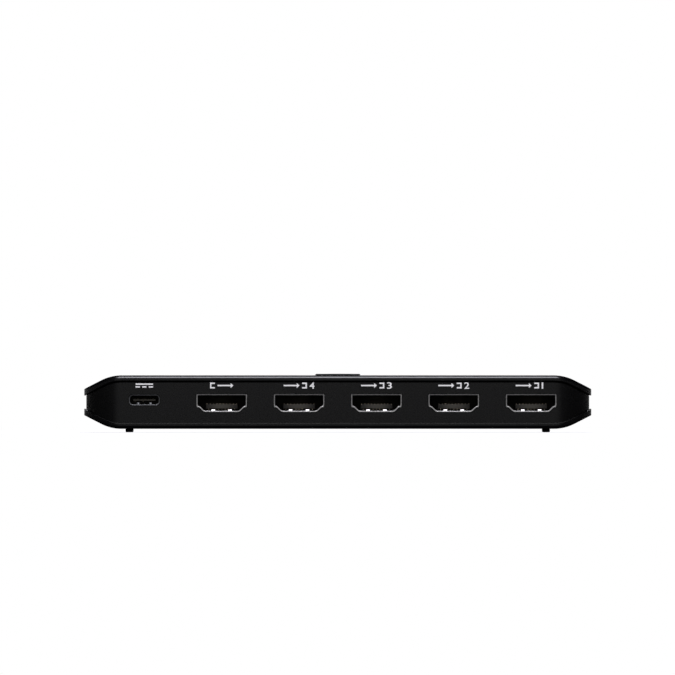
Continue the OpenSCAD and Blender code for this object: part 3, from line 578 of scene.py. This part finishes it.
def cover_edge():
    """Inset and drop of the outer edge of a cover, from its flat down to its side."""
    slopes = []
    for radius, start, end in EDGE_ARCS:
        turns = [math.radians(start + (end - start) * i / EDGE_STEPS) for i in range(EDGE_STEPS + 1)]
        slopes += [(radius, a, b) for a, b in zip(turns, turns[1:])]
    inset = sum(radius * (math.cos(b) - math.cos(a)) for radius, a, b in slopes)
    path = [(inset, 0.0)]
    for radius, a, b in slopes:
        inset, drop = path[-1]
        path.append((inset - radius * (math.cos(b) - math.cos(a)),
                     drop + radius * (math.sin(a) - math.sin(b))))
    return path


def cover_plate(mesh, side):
    """The bent plate of the top (side 1) or bottom (side -1) cover; its face has the second finish."""
    loops = [cover_loop(inset, 0, -drop, side, EDGE_FADE) for inset, drop in cover_edge()]
    loops.append(cover_loop(0, COVER_T, EDGE_UNDER, side, EDGE_FADE))
    loops.append(cover_loop(EDGE_UNDER, COVER_T, 0, side, EDGE_FADE))
    loops.append(cover_loop(OVERHANG + 2 * FRAME_T, COVER_T, 0, side))
    rows = skin(mesh, loops)
    ladder(mesh, rows[0], 1)
    ladder(mesh, rows[-1])


def locating_ribs(mesh, low, high):
    """Two ribs just inside the long walls of the band."""
    for s in (-1, 1):
        y = s * (WALL_Y - FIT - RIB_T / 2)
        bar(mesh, (-RIB_HALF_L, y - RIB_T / 2, low), (RIB_HALF_L, y + RIB_T / 2, high), EDGE_UNDER / 2)


# Top cover
top = bmesh.new()
cover_plate(top, 1)
holes = bmesh.new()
turned(holes, (0, 0, 0), [
    (BUTTON_R + FIT, ROOF_Z - PAST), (BUTTON_R + FIT, TOP_Z - HOLE_BEVEL),
    (BUTTON_R + FIT + HOLE_BEVEL + PAST, TOP_Z + PAST)], steps=96)
for x in LIGHT_X:
    turned(holes, (x, LIGHT_Y, 0), [(LIGHT_HOLE_R, ROOF_Z - PAST), (LIGHT_HOLE_R, TOP_Z + PAST)], steps=32)
inside = bmesh.new()
locating_ribs(inside, ROOF_Z - RIB_H, ROOF_Z + FIT)
for place in SCREW_PLACES:
    tube(inside, place, BOSS_R, PILOT_R, DECK_Z, ROOF_Z + FIT)
piece("top_cover_shell", top, FINISHES["cover_plastic"], COVER_FACE,
      nodes=("top_cover",), cutter=holes, added=inside)

# Bottom cover
base = bmesh.new()
cover_plate(base, -1)
holes = bmesh.new()
for x, y in SCREW_PLACES:
    turned(holes, (x, y, 0), [
        (SCREW_WELL_R + HOLE_BEVEL + PAST, BASE_Z - PAST), (SCREW_WELL_R, BASE_Z + HOLE_BEVEL),
        (SCREW_WELL_R, SCREW_SEAT_Z - 2 * FIT), (SCREW_HOLE_R, SCREW_SEAT_Z - 2 * FIT),
        (SCREW_HOLE_R, FLOOR_Z + PAST)], steps=40)
for node in ("foot_strip_left", "foot_strip_right"):
    low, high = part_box(node)
    bar(holes, (low.x - SEAM, low.y - SEAM, BASE_Z - PAST),
        (high.x + SEAM, high.y + SEAM, BASE_Z + FOOT_GROOVE), SEAM)
inside = bmesh.new()
locating_ribs(inside, FLOOR_Z - FIT, FLOOR_Z + RIB_H)
for place in SCREW_PLACES:
    tube(inside, place, BOSS_R, SCREW_HOLE_R + SEAM, FLOOR_Z - FIT, BOARD_Z)
piece("bottom_cover_shell", base, FINISHES["cover_plastic"], COVER_FACE,
      nodes=("bottom_cover",), cutter=holes, added=inside)


# Sockets
def video_outline(grow):
    """Outline of a video socket in X and Z from the middle of its floor, grown outwards."""
    step_z = VIDEO_H - VIDEO_SIDE_H
    step_x = VIDEO_HALF_W - VIDEO_STEP
    flank = grow * math.tan(math.pi / 8)
    half = [
        (VIDEO_HALF_W + grow, VIDEO_H + grow), (VIDEO_HALF_W + grow, step_z - grow),
        (step_x + flank, step_z - grow), (step_x - step_z + flank, -grow)]
    return rounded(half + [(-x, z) for x, z in reversed(half)], VIDEO_ROUNDS + VIDEO_ROUNDS[::-1])


def power_outline(grow, steps=8):
    """Outline of the power inlet in X and Z from its middle, grown outwards."""
    radius = POWER_R + grow
    curve = []
    for turn, (sx, sz) in enumerate(((1, 1), (1, -1), (-1, -1), (-1, 1))):
        for i in range(steps + 1):
            a = math.pi / 2 * (1 - turn - i / steps)
            curve.append((sx * (POWER_HALF_W - POWER_R) + radius * math.cos(a),
                          sz * (POWER_HALF_H - POWER_R) + radius * math.sin(a)))
    return curve


def socket_shell(mesh, outline, x, z, back_y):
    """A drawn sheet shell whose lip leans in a little and is rounded on the inside."""
    path = [(SHELL_T, back_y), (SHELL_T, MOUTH_Y + LIP_EDGE), (SHELL_T - LIP_EDGE, MOUTH_Y)]
    lean = (SHELL_T - LIP_EDGE - LIP_R * (1 - math.sin(LIP_TILT))) * math.tan(LIP_TILT)
    for i in range(ROUND_STEPS + 1):
        a = LIP_TILT + (math.pi / 2 - LIP_TILT) * i / ROUND_STEPS
        path.append((LIP_R * (1 - math.sin(a)), MOUTH_Y + lean + LIP_R * (math.cos(LIP_TILT) - math.cos(a))))
    path.append((0, back_y))
    loops = [[(x + u, y, z + w) for u, w in outline(grow)] for grow, y in path]
    skin(mesh, loops, ring=True)


def spring_finger(mesh, x, z, width, height):
    """A sprung finger in a socket floor: it leans back just inside the mouth, and runs down behind."""
    foot, front = z - SPRING_T, MOUTH_Y + SPRING_START
    lean = (height + SPRING_T) * math.tan(SPRING_LEAN)
    side = rounded([(front, foot), (front + lean, z + height), (front + SPRING_L - lean, z + height),
                    (front + SPRING_L, foot)], (SEAM, SPRING_ROUND, SPRING_ROUND, SEAM))
    closed_skin(mesh, [[(x + s * width / 2, y, up) for y, up in side] for s in (-1, 1)])


def spring_bump(mesh, x, z):
    """A sprung bump in the floor of the power inlet, half round, with a rounded front."""
    loops = []
    for along, radius in POWER_SPRING_NOSE:
        y = MOUTH_Y + SHELL_T / 2 + POWER_SPRING_L * along
        turns = [math.pi * i / DISH_STEPS for i in range(DISH_STEPS + 1)]
        arch = [(x + POWER_SPRING_R * radius * math.cos(a), y, z + POWER_SPRING_R * radius * math.sin(a))
                for a in turns]
        foot = z - SHELL_T / 2
        loops.append([(arch[0][0], y, foot)] + arch + [(arch[-1][0], y, foot)])
    closed_skin(mesh, loops)


def socket_legs(mesh, x, reach, back, high_z):
    """The four legs that a shell stands on in the board."""
    for s in (-1, 1):
        for along in back:
            y = MOUTH_Y + along
            bar(mesh, (x + s * reach - SHELL_T / 2, y - LEG_W / 2, LEG_LOW_Z),
                (x + s * reach + SHELL_T / 2, y + LEG_W / 2, high_z), SEAM)


def socket_tongue(mesh, x, z, size, front_y, back_y):
    """The tongue in a socket, given by the middle of its underside: a bar with a round nose."""
    width, height = size
    nose = height / 4
    loops = []
    for along, inset in TONGUE_NOSE:
        x1, z0, z1 = width / 2 - nose * inset, z + nose * inset, z + height - nose * inset
        section = rounded([(x + x1, z0), (x + x1, z1), (x - x1, z1), (x - x1, z0)], [nose / 2] * 4)
        loops.append([(u, front_y + nose * along, w) for u, w in section])
    loops.append([(p[0], back_y, p[2]) for p in loops[-1]])
    closed_skin(mesh, loops)


socket_holes = bmesh.new()
for port in PORTS:
    low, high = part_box(port + "_shell")
    x = (low.x + high.x) / 2
    z = high.z - SHELL_T - VIDEO_H
    shell = bmesh.new()
    socket_shell(shell, video_outline, x, z, high.y)
    for s in (-1, 1):
        spring_finger(shell, x + s * SPRING_X, z, SPRING_W, SPRING_H)
    socket_legs(shell, x, VIDEO_HALF_W + SHELL_T / 2, VIDEO_LEGS, z + VIDEO_H - VIDEO_SIDE_H / 2)
    piece(port + "_rim", shell, FINISHES["socket_steel"], nodes=(port + "_shell",))
    block_low, block_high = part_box(port + "_insulator")
    block_y = block_high.y - VIDEO_BLOCK_D
    tongue = bmesh.new()
    block(tongue, video_outline(-SEAM), x, z, block_y, block_high.y)
    socket_tongue(tongue, x, z + VIDEO_TONGUE_RISE, VIDEO_TONGUE, block_low.y, block_y + FIT)
    # The tongue's finish has painted shade: darker at its sides and paler in the middle
    piece(port + "_tongue", tongue, TONGUE_NYLON_PAINTED_SHADE, nodes=(port + "_insulator",))
    block(socket_holes, video_outline(SHELL_T + FIT), x, z, MOUTH_Y - PAST, PAST - WALL_Y)

low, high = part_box("power_inlet_shell")
power_x = (low.x + high.x) / 2
power_z = high.z - SHELL_T - POWER_HALF_H
shell = bmesh.new()
socket_shell(shell, power_outline, power_x, power_z, high.y)
for s in (-1, 1):
    spring_bump(shell, power_x + s * POWER_SPRING_X, power_z - POWER_HALF_H)
socket_legs(shell, power_x, POWER_HALF_W + SHELL_T, POWER_LEGS, power_z + POWER_HALF_H / 2)
piece("power_inlet_rim", shell, FINISHES["tinned_steel"], nodes=("power_inlet_shell",))
block_low, block_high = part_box("power_inlet_insulator")
block_y = block_high.y - POWER_BLOCK_D
tongue = bmesh.new()
block(tongue, power_outline(-SEAM), power_x, power_z, block_y, block_high.y)
socket_tongue(tongue, power_x, power_z - POWER_TONGUE[1] / 2, POWER_TONGUE, block_low.y, block_y + FIT)
piece("power_inlet_tongue", tongue, FINISHES["insulator_plastic"], nodes=("power_inlet_insulator",))
block(socket_holes, power_outline(SHELL_T + FIT), power_x, power_z, MOUTH_Y - PAST, PAST - WALL_Y)

# Sensor window
low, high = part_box("ir_window")
window_x = (low.x + high.x) / 2
window_z = (low.z + high.z) / 2
window_face = FACE_Y - WINDOW_RECESS
dish_r = (WINDOW_R ** 2 + WINDOW_DISH ** 2) / (2 * WINDOW_DISH)
profile = [(WINDOW_R * EYE, WALL_Y - WINDOW_FLANGE_T), (WINDOW_R - SEAM, WALL_Y - WINDOW_FLANGE_T),
           (WINDOW_R - SEAM, window_face - SEAM)]
for i in range(DISH_STEPS + 1):
    r = (WINDOW_R - 2 * SEAM) * (1 - i / (DISH_STEPS + WINDOW_EYE_STEP))
    profile.append((r, window_face - WINDOW_DISH + dish_r - math.sqrt(dish_r ** 2 - r ** 2)))
window = bmesh.new()
turned(window, (window_x, 0, window_z), profile, axis="y", steps=72)
bar(window, (low.x, low.y, low.z), (high.x, WALL_Y - SEAM, high.z), SEAM)
piece("sensor_window", window, FINISHES["smoked_acrylic"], nodes=("ir_window",))
turned(socket_holes, (window_x, 0, window_z), [
    (WINDOW_R + SEAM, WALL_Y - PAST), (WINDOW_R + SEAM, FACE_Y - WINDOW_BEVEL),
    (WINDOW_R + SEAM + WINDOW_BEVEL + PAST, FACE_Y + PAST)], axis="y", steps=72)

# Band between the covers
band = bmesh.new()
skin(band, [cover_loop(OVERHANG + inset, COVER_T, lift, side) for inset, lift, side in (
    (0, 0, -1), (0, -BAND_BEVEL, 1), (BAND_BEVEL, 0, 1), (FRAME_T, 0, 1), (FRAME_T, 0, -1))], ring=True)
piece("case_band", band, FINISHES["frame_plastic"], nodes=("middle_frame",), cutter=socket_holes)

# Button
crown = []
for a in quarter_turns():
    crown.append((BUTTON_R - BUTTON_EDGE_R * (1 - math.cos(a)),
                  BUTTON_TOP - BUTTON_CROWN - BUTTON_EDGE_R * (1 - math.sin(a))))
crown += [(BUTTON_R * out, BUTTON_TOP - BUTTON_CROWN * drop) for out, drop in BUTTON_CROWN_CURVE]
flange_z = ROOF_Z - SEAM
stem_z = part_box("select_button")[0].z
button = bmesh.new()
turned(button, (0, 0, 0), [
    (BUTTON_STEM_R * BUTTON_STEM_EYE, stem_z), (BUTTON_STEM_R, stem_z),
    (BUTTON_STEM_R, BUTTON_TOP - BUTTON_WALL), (BUTTON_R - BUTTON_WALL, BUTTON_TOP - BUTTON_WALL),
    (BUTTON_R - BUTTON_WALL, flange_z - BUTTON_FLANGE[1]),
    (BUTTON_R + BUTTON_FLANGE[0], flange_z - BUTTON_FLANGE[1]), (BUTTON_R + BUTTON_FLANGE[0], flange_z),
    (BUTTON_R, flange_z)] + crown, steps=96)
piece("button_cap", button, FINISHES["button_plastic"], body="button", nodes=("select_button",))

# Dome of the switch under the button, on a mesh of its own
low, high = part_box("tact_switch_dome")
rise = high.z - low.z
bow_r = (high.x ** 2 + rise ** 2) / (2 * rise)
outer, inner = [], []
for i in range(DISH_STEPS + 1):
    r = high.x * (EYE + (1 - EYE) * i / DISH_STEPS)
    z = high.z - bow_r + math.sqrt(bow_r ** 2 - r ** 2)
    outer.append((r, z))
    inner.append((r * (1 - DOME_T / bow_r), max(z - DOME_T, low.z - DOME_T / 4)))
dome = bmesh.new()
turned(dome, (0, 0, 0), inner + outer[::-1], steps=48)
dome_piece = piece("switch_dome", dome, FINISHES["spring_steel"], nodes=("tact_switch_dome",))
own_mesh(dome_piece)

# Feet
for node in ("foot_strip_left", "foot_strip_right"):
    low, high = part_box(node)
    strip = bmesh.new()
    loops = []
    for a in quarter_turns():
        loops.append((FOOT_ROUND * (1 - math.sin(a)), low.y + FOOT_ROUND * (1 - math.cos(a))))
    ends = loops + [(inset, -y) for inset, y in reversed(loops)]
    sections = []
    for inset, y in ends:
        x0, x1, z0, z1 = low.x + inset, high.x - inset, low.z + inset, high.z
        corners = [(x0, z0), (x1, z0), (x1, z1), (x0, z1)]
        section = rounded(corners, (FOOT_ROUND, FOOT_ROUND, SEAM, SEAM))
        sections.append([(u, y, w) for u, w in section])
    closed_skin(strip, sections)
    piece(node + "_rubber", strip, FINISHES["foot_rubber"], nodes=(node,))


# Printed marks over the sockets
def ink(mesh, outline):
    """A flat printed shape on the socket side of the band."""
    block(mesh, outline, 0, 0, MOUTH_Y - INK_T, MOUTH_Y + INK_SINK)


def ink_box(mesh, x, z, width, height):
    """A printed bar given by its middle."""
    ink(mesh, [(x - width / 2, z - height / 2), (x + width / 2, z - height / 2),
               (x + width / 2, z + height / 2), (x - width / 2, z + height / 2)])


def ink_numeral(mesh, digit, x):
    """A plain numeral, scaled to the size of the marks, with its left side at x."""
    letter = bpy.data.curves.new("numeral", "FONT")
    letter.body = digit
    letter.offset = NUMERAL_WEIGHT
    holder = bpy.data.objects.new("numeral", letter)
    scene.collection.objects.link(holder)
    flat = bpy.data.meshes.new_from_object(holder.evaluated_get(bpy.context.evaluated_depsgraph_get()))
    across = [v.co.x for v in flat.vertices]
    up = [v.co.y for v in flat.vertices]
    size = NUMERAL_H / (max(up) - min(up))
    broad = NUMERAL_W / max(max(across) - min(across), NUMERAL_LEAST * NUMERAL_W / size)
    made = bmesh.new()
    made.from_mesh(flat)
    bmesh.ops.remove_doubles(made, verts=made.verts, dist=NUMERAL_WELD)
    bmesh.ops.dissolve_limit(made, angle_limit=NUMERAL_FLAT_ANGLE, verts=made.verts, edges=made.edges)
    bmesh.ops.triangulate(made, faces=made.faces)
    cuts = [edge for edge in made.edges if not edge.is_boundary]
    bmesh.ops.beautify_fill(made, faces=made.faces, edges=cuts, method="ANGLE")
    back = bmesh.ops.extrude_face_region(made, geom=made.faces[:])["geom"]
    for v in [g for g in back if isinstance(g, bmesh.types.BMVert)]:
        v.co.z = INK_T + INK_SINK
    made.verts.ensure_lookup_table()
    new = [mesh.verts.new((x + (v.co.x - min(across)) * broad, MOUTH_Y + INK_SINK - v.co.z,
                           MARK_Z - NUMERAL_H / 2 + (v.co.y - min(up)) * size)) for v in made.verts]
    for face in made.faces:
        mesh.faces.new([new[v.index] for v in face.verts])
    made.free()
    bpy.data.objects.remove(holder)


def ink_arrow(mesh, x, width):
    """An arrow to the right, with its left end at x."""
    head = ARROW_HEAD_H
    neck = x + width - ARROW_HEAD_L
    half = MARK_LINE / 2
    ink(mesh, [(x, MARK_Z - half), (neck, MARK_Z - half), (neck, MARK_Z - head), (x + width, MARK_Z),
               (neck, MARK_Z + head), (neck, MARK_Z + half), (x, MARK_Z + half)])


def ink_bracket(mesh, x, side):
    """A bracket that stands for the box, with its left end at x; side is the way that its arms point."""
    back, tip = (x, x + BRACKET_W) if side > 0 else (x + BRACKET_W, x)
    inner = back + side * MARK_LINE
    reach = MARK_H / 2
    half = [(back, reach), (tip, reach), (tip, reach - MARK_LINE), (inner, reach - MARK_LINE)]
    ink(mesh, [(u, MARK_Z + up) for u, up in half] + [(u, MARK_Z - up) for u, up in reversed(half)])


marks = bmesh.new()
for port in PORTS:
    low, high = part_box(port + "_shell")
    x = (low.x + high.x) / 2
    if port == "video_out":
        start = x - (BRACKET_W + MARK_GAP + ARROW_W) / 2
        ink_bracket(marks, start, 1)
        ink_arrow(marks, start + BRACKET_W + MARK_GAP, ARROW_W)
    else:
        start = x - (ARROW_W + BRACKET_W + NUMERAL_W + 2 * MARK_GAP) / 2
        ink_arrow(marks, start, ARROW_W)
        ink_bracket(marks, start + ARROW_W + MARK_GAP, -1)
        ink_numeral(marks, port[-1], start + ARROW_W + BRACKET_W + 2 * MARK_GAP)
ink_box(marks, power_x, MARK_Z + MARK_LINE, 3 * DASH_W + 2 * DASH_GAP, MARK_LINE)
for i in (-1, 0, 1):
    ink_box(marks, power_x + i * (DASH_W + DASH_GAP), MARK_Z - MARK_LINE, DASH_W, MARK_LINE)
piece("printed_marks", marks, PRINT_INK)

# Solids that show as they are
for name, node in frame["nodes"].items():
    if name in REPLACED:
        continue
    for place in node.material_slots:
        place.material = FINISHES[SLOTS[name]]
    joined = node.modifiers.new("joined", "WELD")
    joined.merge_threshold = CAD_WELD
    soft = node.modifiers.new("soft_edges", "BEVEL")
    soft.width = SOFT_EDGE
    soft.segments = SOFT_STEPS
    soft.limit_method = "ANGLE"
    soft.angle_limit = SOFT_ANGLE
    closed = node.modifiers.new("closed", "WELD")
    closed.merge_threshold = EDGE_WELD
    node.modifiers.new("even_shading", "WEIGHTED_NORMAL")

# Camera: level with the middle of the case, far off with a long lens, turned up a little to place the case,
# whose length and place in the photograph are given in pixels
PHOTO_PX = 675
CASE_PX = 507.1
CASE_DROP_PX = 64.6
CASE_SHIFT_PX = 0.25
LENS = 1500
SENSOR = 36
SIGHT = 20
mm_px = 2 * HALF_L / CASE_PX
distance = mm_px * PHOTO_PX * LENS / SENSOR
near_end_y = HALF_D - CORNER_R
camera = bpy.data.objects.new("camera", bpy.data.cameras.new("camera"))
scene.collection.objects.link(camera)
camera.data.lens = LENS
camera.data.sensor_width = SENSOR
camera.data.clip_end = SIGHT
camera.location = (-CASE_SHIFT_PX * mm_px, -near_end_y - distance, MID_Z)
camera.rotation_euler = (math.pi / 2 + math.atan(CASE_DROP_PX * mm_px / distance), 0, 0)
scene.camera = camera


# Light: a softbox above in front and one behind, each over a dim wide card, and a strip overhead
def softbox(name, place, size, radiance, colour="#ffffff"):
    """An area lamp that looks at the case; radiance 1 would photograph as white."""
    lamp = bpy.data.lights.new(name, "AREA")
    lamp.shape = "RECTANGLE"
    lamp.size, lamp.size_y = size
    lamp.energy = radiance * math.pi * size[0] * size[1]
    lamp.color = tone(colour)[:3]
    holder = bpy.data.objects.new(name, lamp)
    scene.collection.objects.link(holder)
    holder.location = place
    holder.rotation_euler = (Vector((0, 0, MID_Z)) - Vector(place)).to_track_quat("-Z", "Y").to_euler()
    holder.visible_camera = False


# Distances and sizes of the lamps are in metres
KEY_LIFT = math.radians(42)
KEY_AWAY = 1.0
KEY_SIZE = (0.6, 0.35)
KEY_RADIANCE = 14.0
KEY_COLOUR = "#f8f7ff"
STRIP_SIZE = (0.6, 0.2)
STRIP_RADIANCE = 2.0
CARD_AWAY = 1.2
CARD_SIZE = (1.0, 0.5)
CARD_RADIANCE = 0.52
for name, side in (("front", -1), ("rear", 1)):
    place = (0, side * KEY_AWAY * math.cos(KEY_LIFT), KEY_AWAY * math.sin(KEY_LIFT))
    softbox(name + "_softbox", place, KEY_SIZE, KEY_RADIANCE, KEY_COLOUR)
    softbox(name + "_card", (0, side * CARD_AWAY, CARD_SIZE[1] / 2), CARD_SIZE, CARD_RADIANCE)
softbox("overhead_strip", (0, 0, KEY_AWAY), STRIP_SIZE, STRIP_RADIANCE)


def seen_directly(tree):
    """1 for rays from the camera, from a mirror or through glass, and 0 for the rest."""
    path = add_node(tree, "ShaderNodeLightPath")
    mirrored = add_node(tree, "ShaderNodeMath", {
        0: path.outputs["Is Camera Ray"], 1: path.outputs["Is Glossy Ray"]}, operation="MAXIMUM")
    return add_node(tree, "ShaderNodeMath", {
        0: mirrored.outputs[0], 1: path.outputs["Is Transmission Ray"]}, operation="MAXIMUM").outputs[0]


# White surroundings, which light the case only a little
AMBIENT = 0.05
world = bpy.data.worlds.new("white_surroundings")
scene.world = world
world.use_nodes = True
world.node_tree.nodes.clear()
strength = add_node(world.node_tree, "ShaderNodeMapRange", {
    "Value": seen_directly(world.node_tree), "To Min": AMBIENT, "To Max": 1.0})
sky = add_node(world.node_tree, "ShaderNodeBackground", {
    "Color": tone("#ffffff"), "Strength": strength.outputs[0]})
add_node(world.node_tree, "ShaderNodeOutputWorld", {"Surface": sky.outputs[0]})


# Pale floor: near the case it is paper that keeps the shadow, and it runs to white between two distances from
# the middle, which are nearer for the camera than for mirrors
PAPER_LIFT = 0.5
PAPER_SEEN = (0.12, 0.45)
PAPER_MIRRORED = (0.5, 1.25)


def pale_floor():
    """Matt paper: pale to the camera, dull to the case that stands on it, and white further out."""
    made, tree, place = new_finish("pale_studio_paper")
    path = add_node(tree, "ShaderNodeLightPath")
    away = add_node(tree, "ShaderNodeVectorMath", {0: place}, operation="LENGTH")
    lift = add_node(tree, "ShaderNodeMapRange", {
        "Value": away.outputs["Value"], "From Min": PAPER_SEEN[0], "From Max": PAPER_SEEN[1],
        "To Min": PAPER_LIFT, "To Max": 1.0})
    out = add_node(tree, "ShaderNodeMapRange", {
        "Value": away.outputs["Value"], "From Min": PAPER_MIRRORED[0], "From Max": PAPER_MIRRORED[1]})
    camera_share = add_node(tree, "ShaderNodeMath", {
        0: lift.outputs[0], 1: path.outputs["Is Camera Ray"]}, operation="MULTIPLY")
    mirror_share = add_node(tree, "ShaderNodeMath", {
        0: out.outputs[0], 1: seen_directly(tree)}, operation="MULTIPLY")
    share = add_node(tree, "ShaderNodeMath", {
        0: camera_share.outputs[0], 1: mirror_share.outputs[0]}, operation="MAXIMUM")
    colour = add_node(tree, "ShaderNodeMix", {
        0: path.outputs["Is Camera Ray"], 6: tone("#2c2c2c"), 7: tone("#f4f4f4")}, data_type="RGBA")
    paper = add_node(tree, "ShaderNodeBsdfDiffuse", {"Color": colour.outputs[2]})
    glow = add_node(tree, "ShaderNodeEmission", {"Color": tone("#ffffff"), "Strength": 1.0})
    both = add_node(tree, "ShaderNodeMixShader", {
        0: share.outputs[0], 1: paper.outputs[0], 2: glow.outputs[0]})
    add_node(tree, "ShaderNodeOutputMaterial", {"Surface": both.outputs[0]})
    return made


def sheet_of(name, corners, finish):
    """A flat stage sheet."""
    data = bpy.data.meshes.new(name)
    data.from_pydata(corners, [], [(0, 1, 2, 3)])
    data.materials.append(finish)
    made = bpy.data.objects.new(name, data)
    scene.collection.objects.link(made)
    return made


def level_square(reach, z):
    """Corners of a level square round the middle of the scene."""
    return [(-reach, -reach, z), (reach, -reach, z), (reach, reach, z), (-reach, reach, z)]


FLOOR_REACH = 10.0
sheet_of("floor", level_square(FLOOR_REACH, 0), pale_floor())

# Dark flags on four sides and above, out of the camera's sight: a near-black case shows its form only
# against them
flag_cloth = moulded_plastic("black_flag_cloth", "#050505", "#070707", 1.0 * MM, 0.9, 1.5)
FLAG_AWAY = 1.3
FLAG_H = 1.4
FLAGS = {"flag_front": (0, -1), "flag_back": (0, 1), "flag_left": (-1, 0), "flag_right": (1, 0)}
flags = [sheet_of("flag_above", level_square(FLAG_AWAY, FLAG_H), flag_cloth)]
for name, (ax, ay) in FLAGS.items():
    side = Vector((-ay, ax, 0)) * FLAG_AWAY
    foot = Vector((ax, ay, 0)) * FLAG_AWAY
    up = Vector((0, 0, FLAG_H))
    flags.append(sheet_of(name, [foot - side, foot + side, foot + side + up, foot - side + up], flag_cloth))
for flag in flags:
    flag.visible_camera = False

scene.view_settings.view_transform = "Standard"
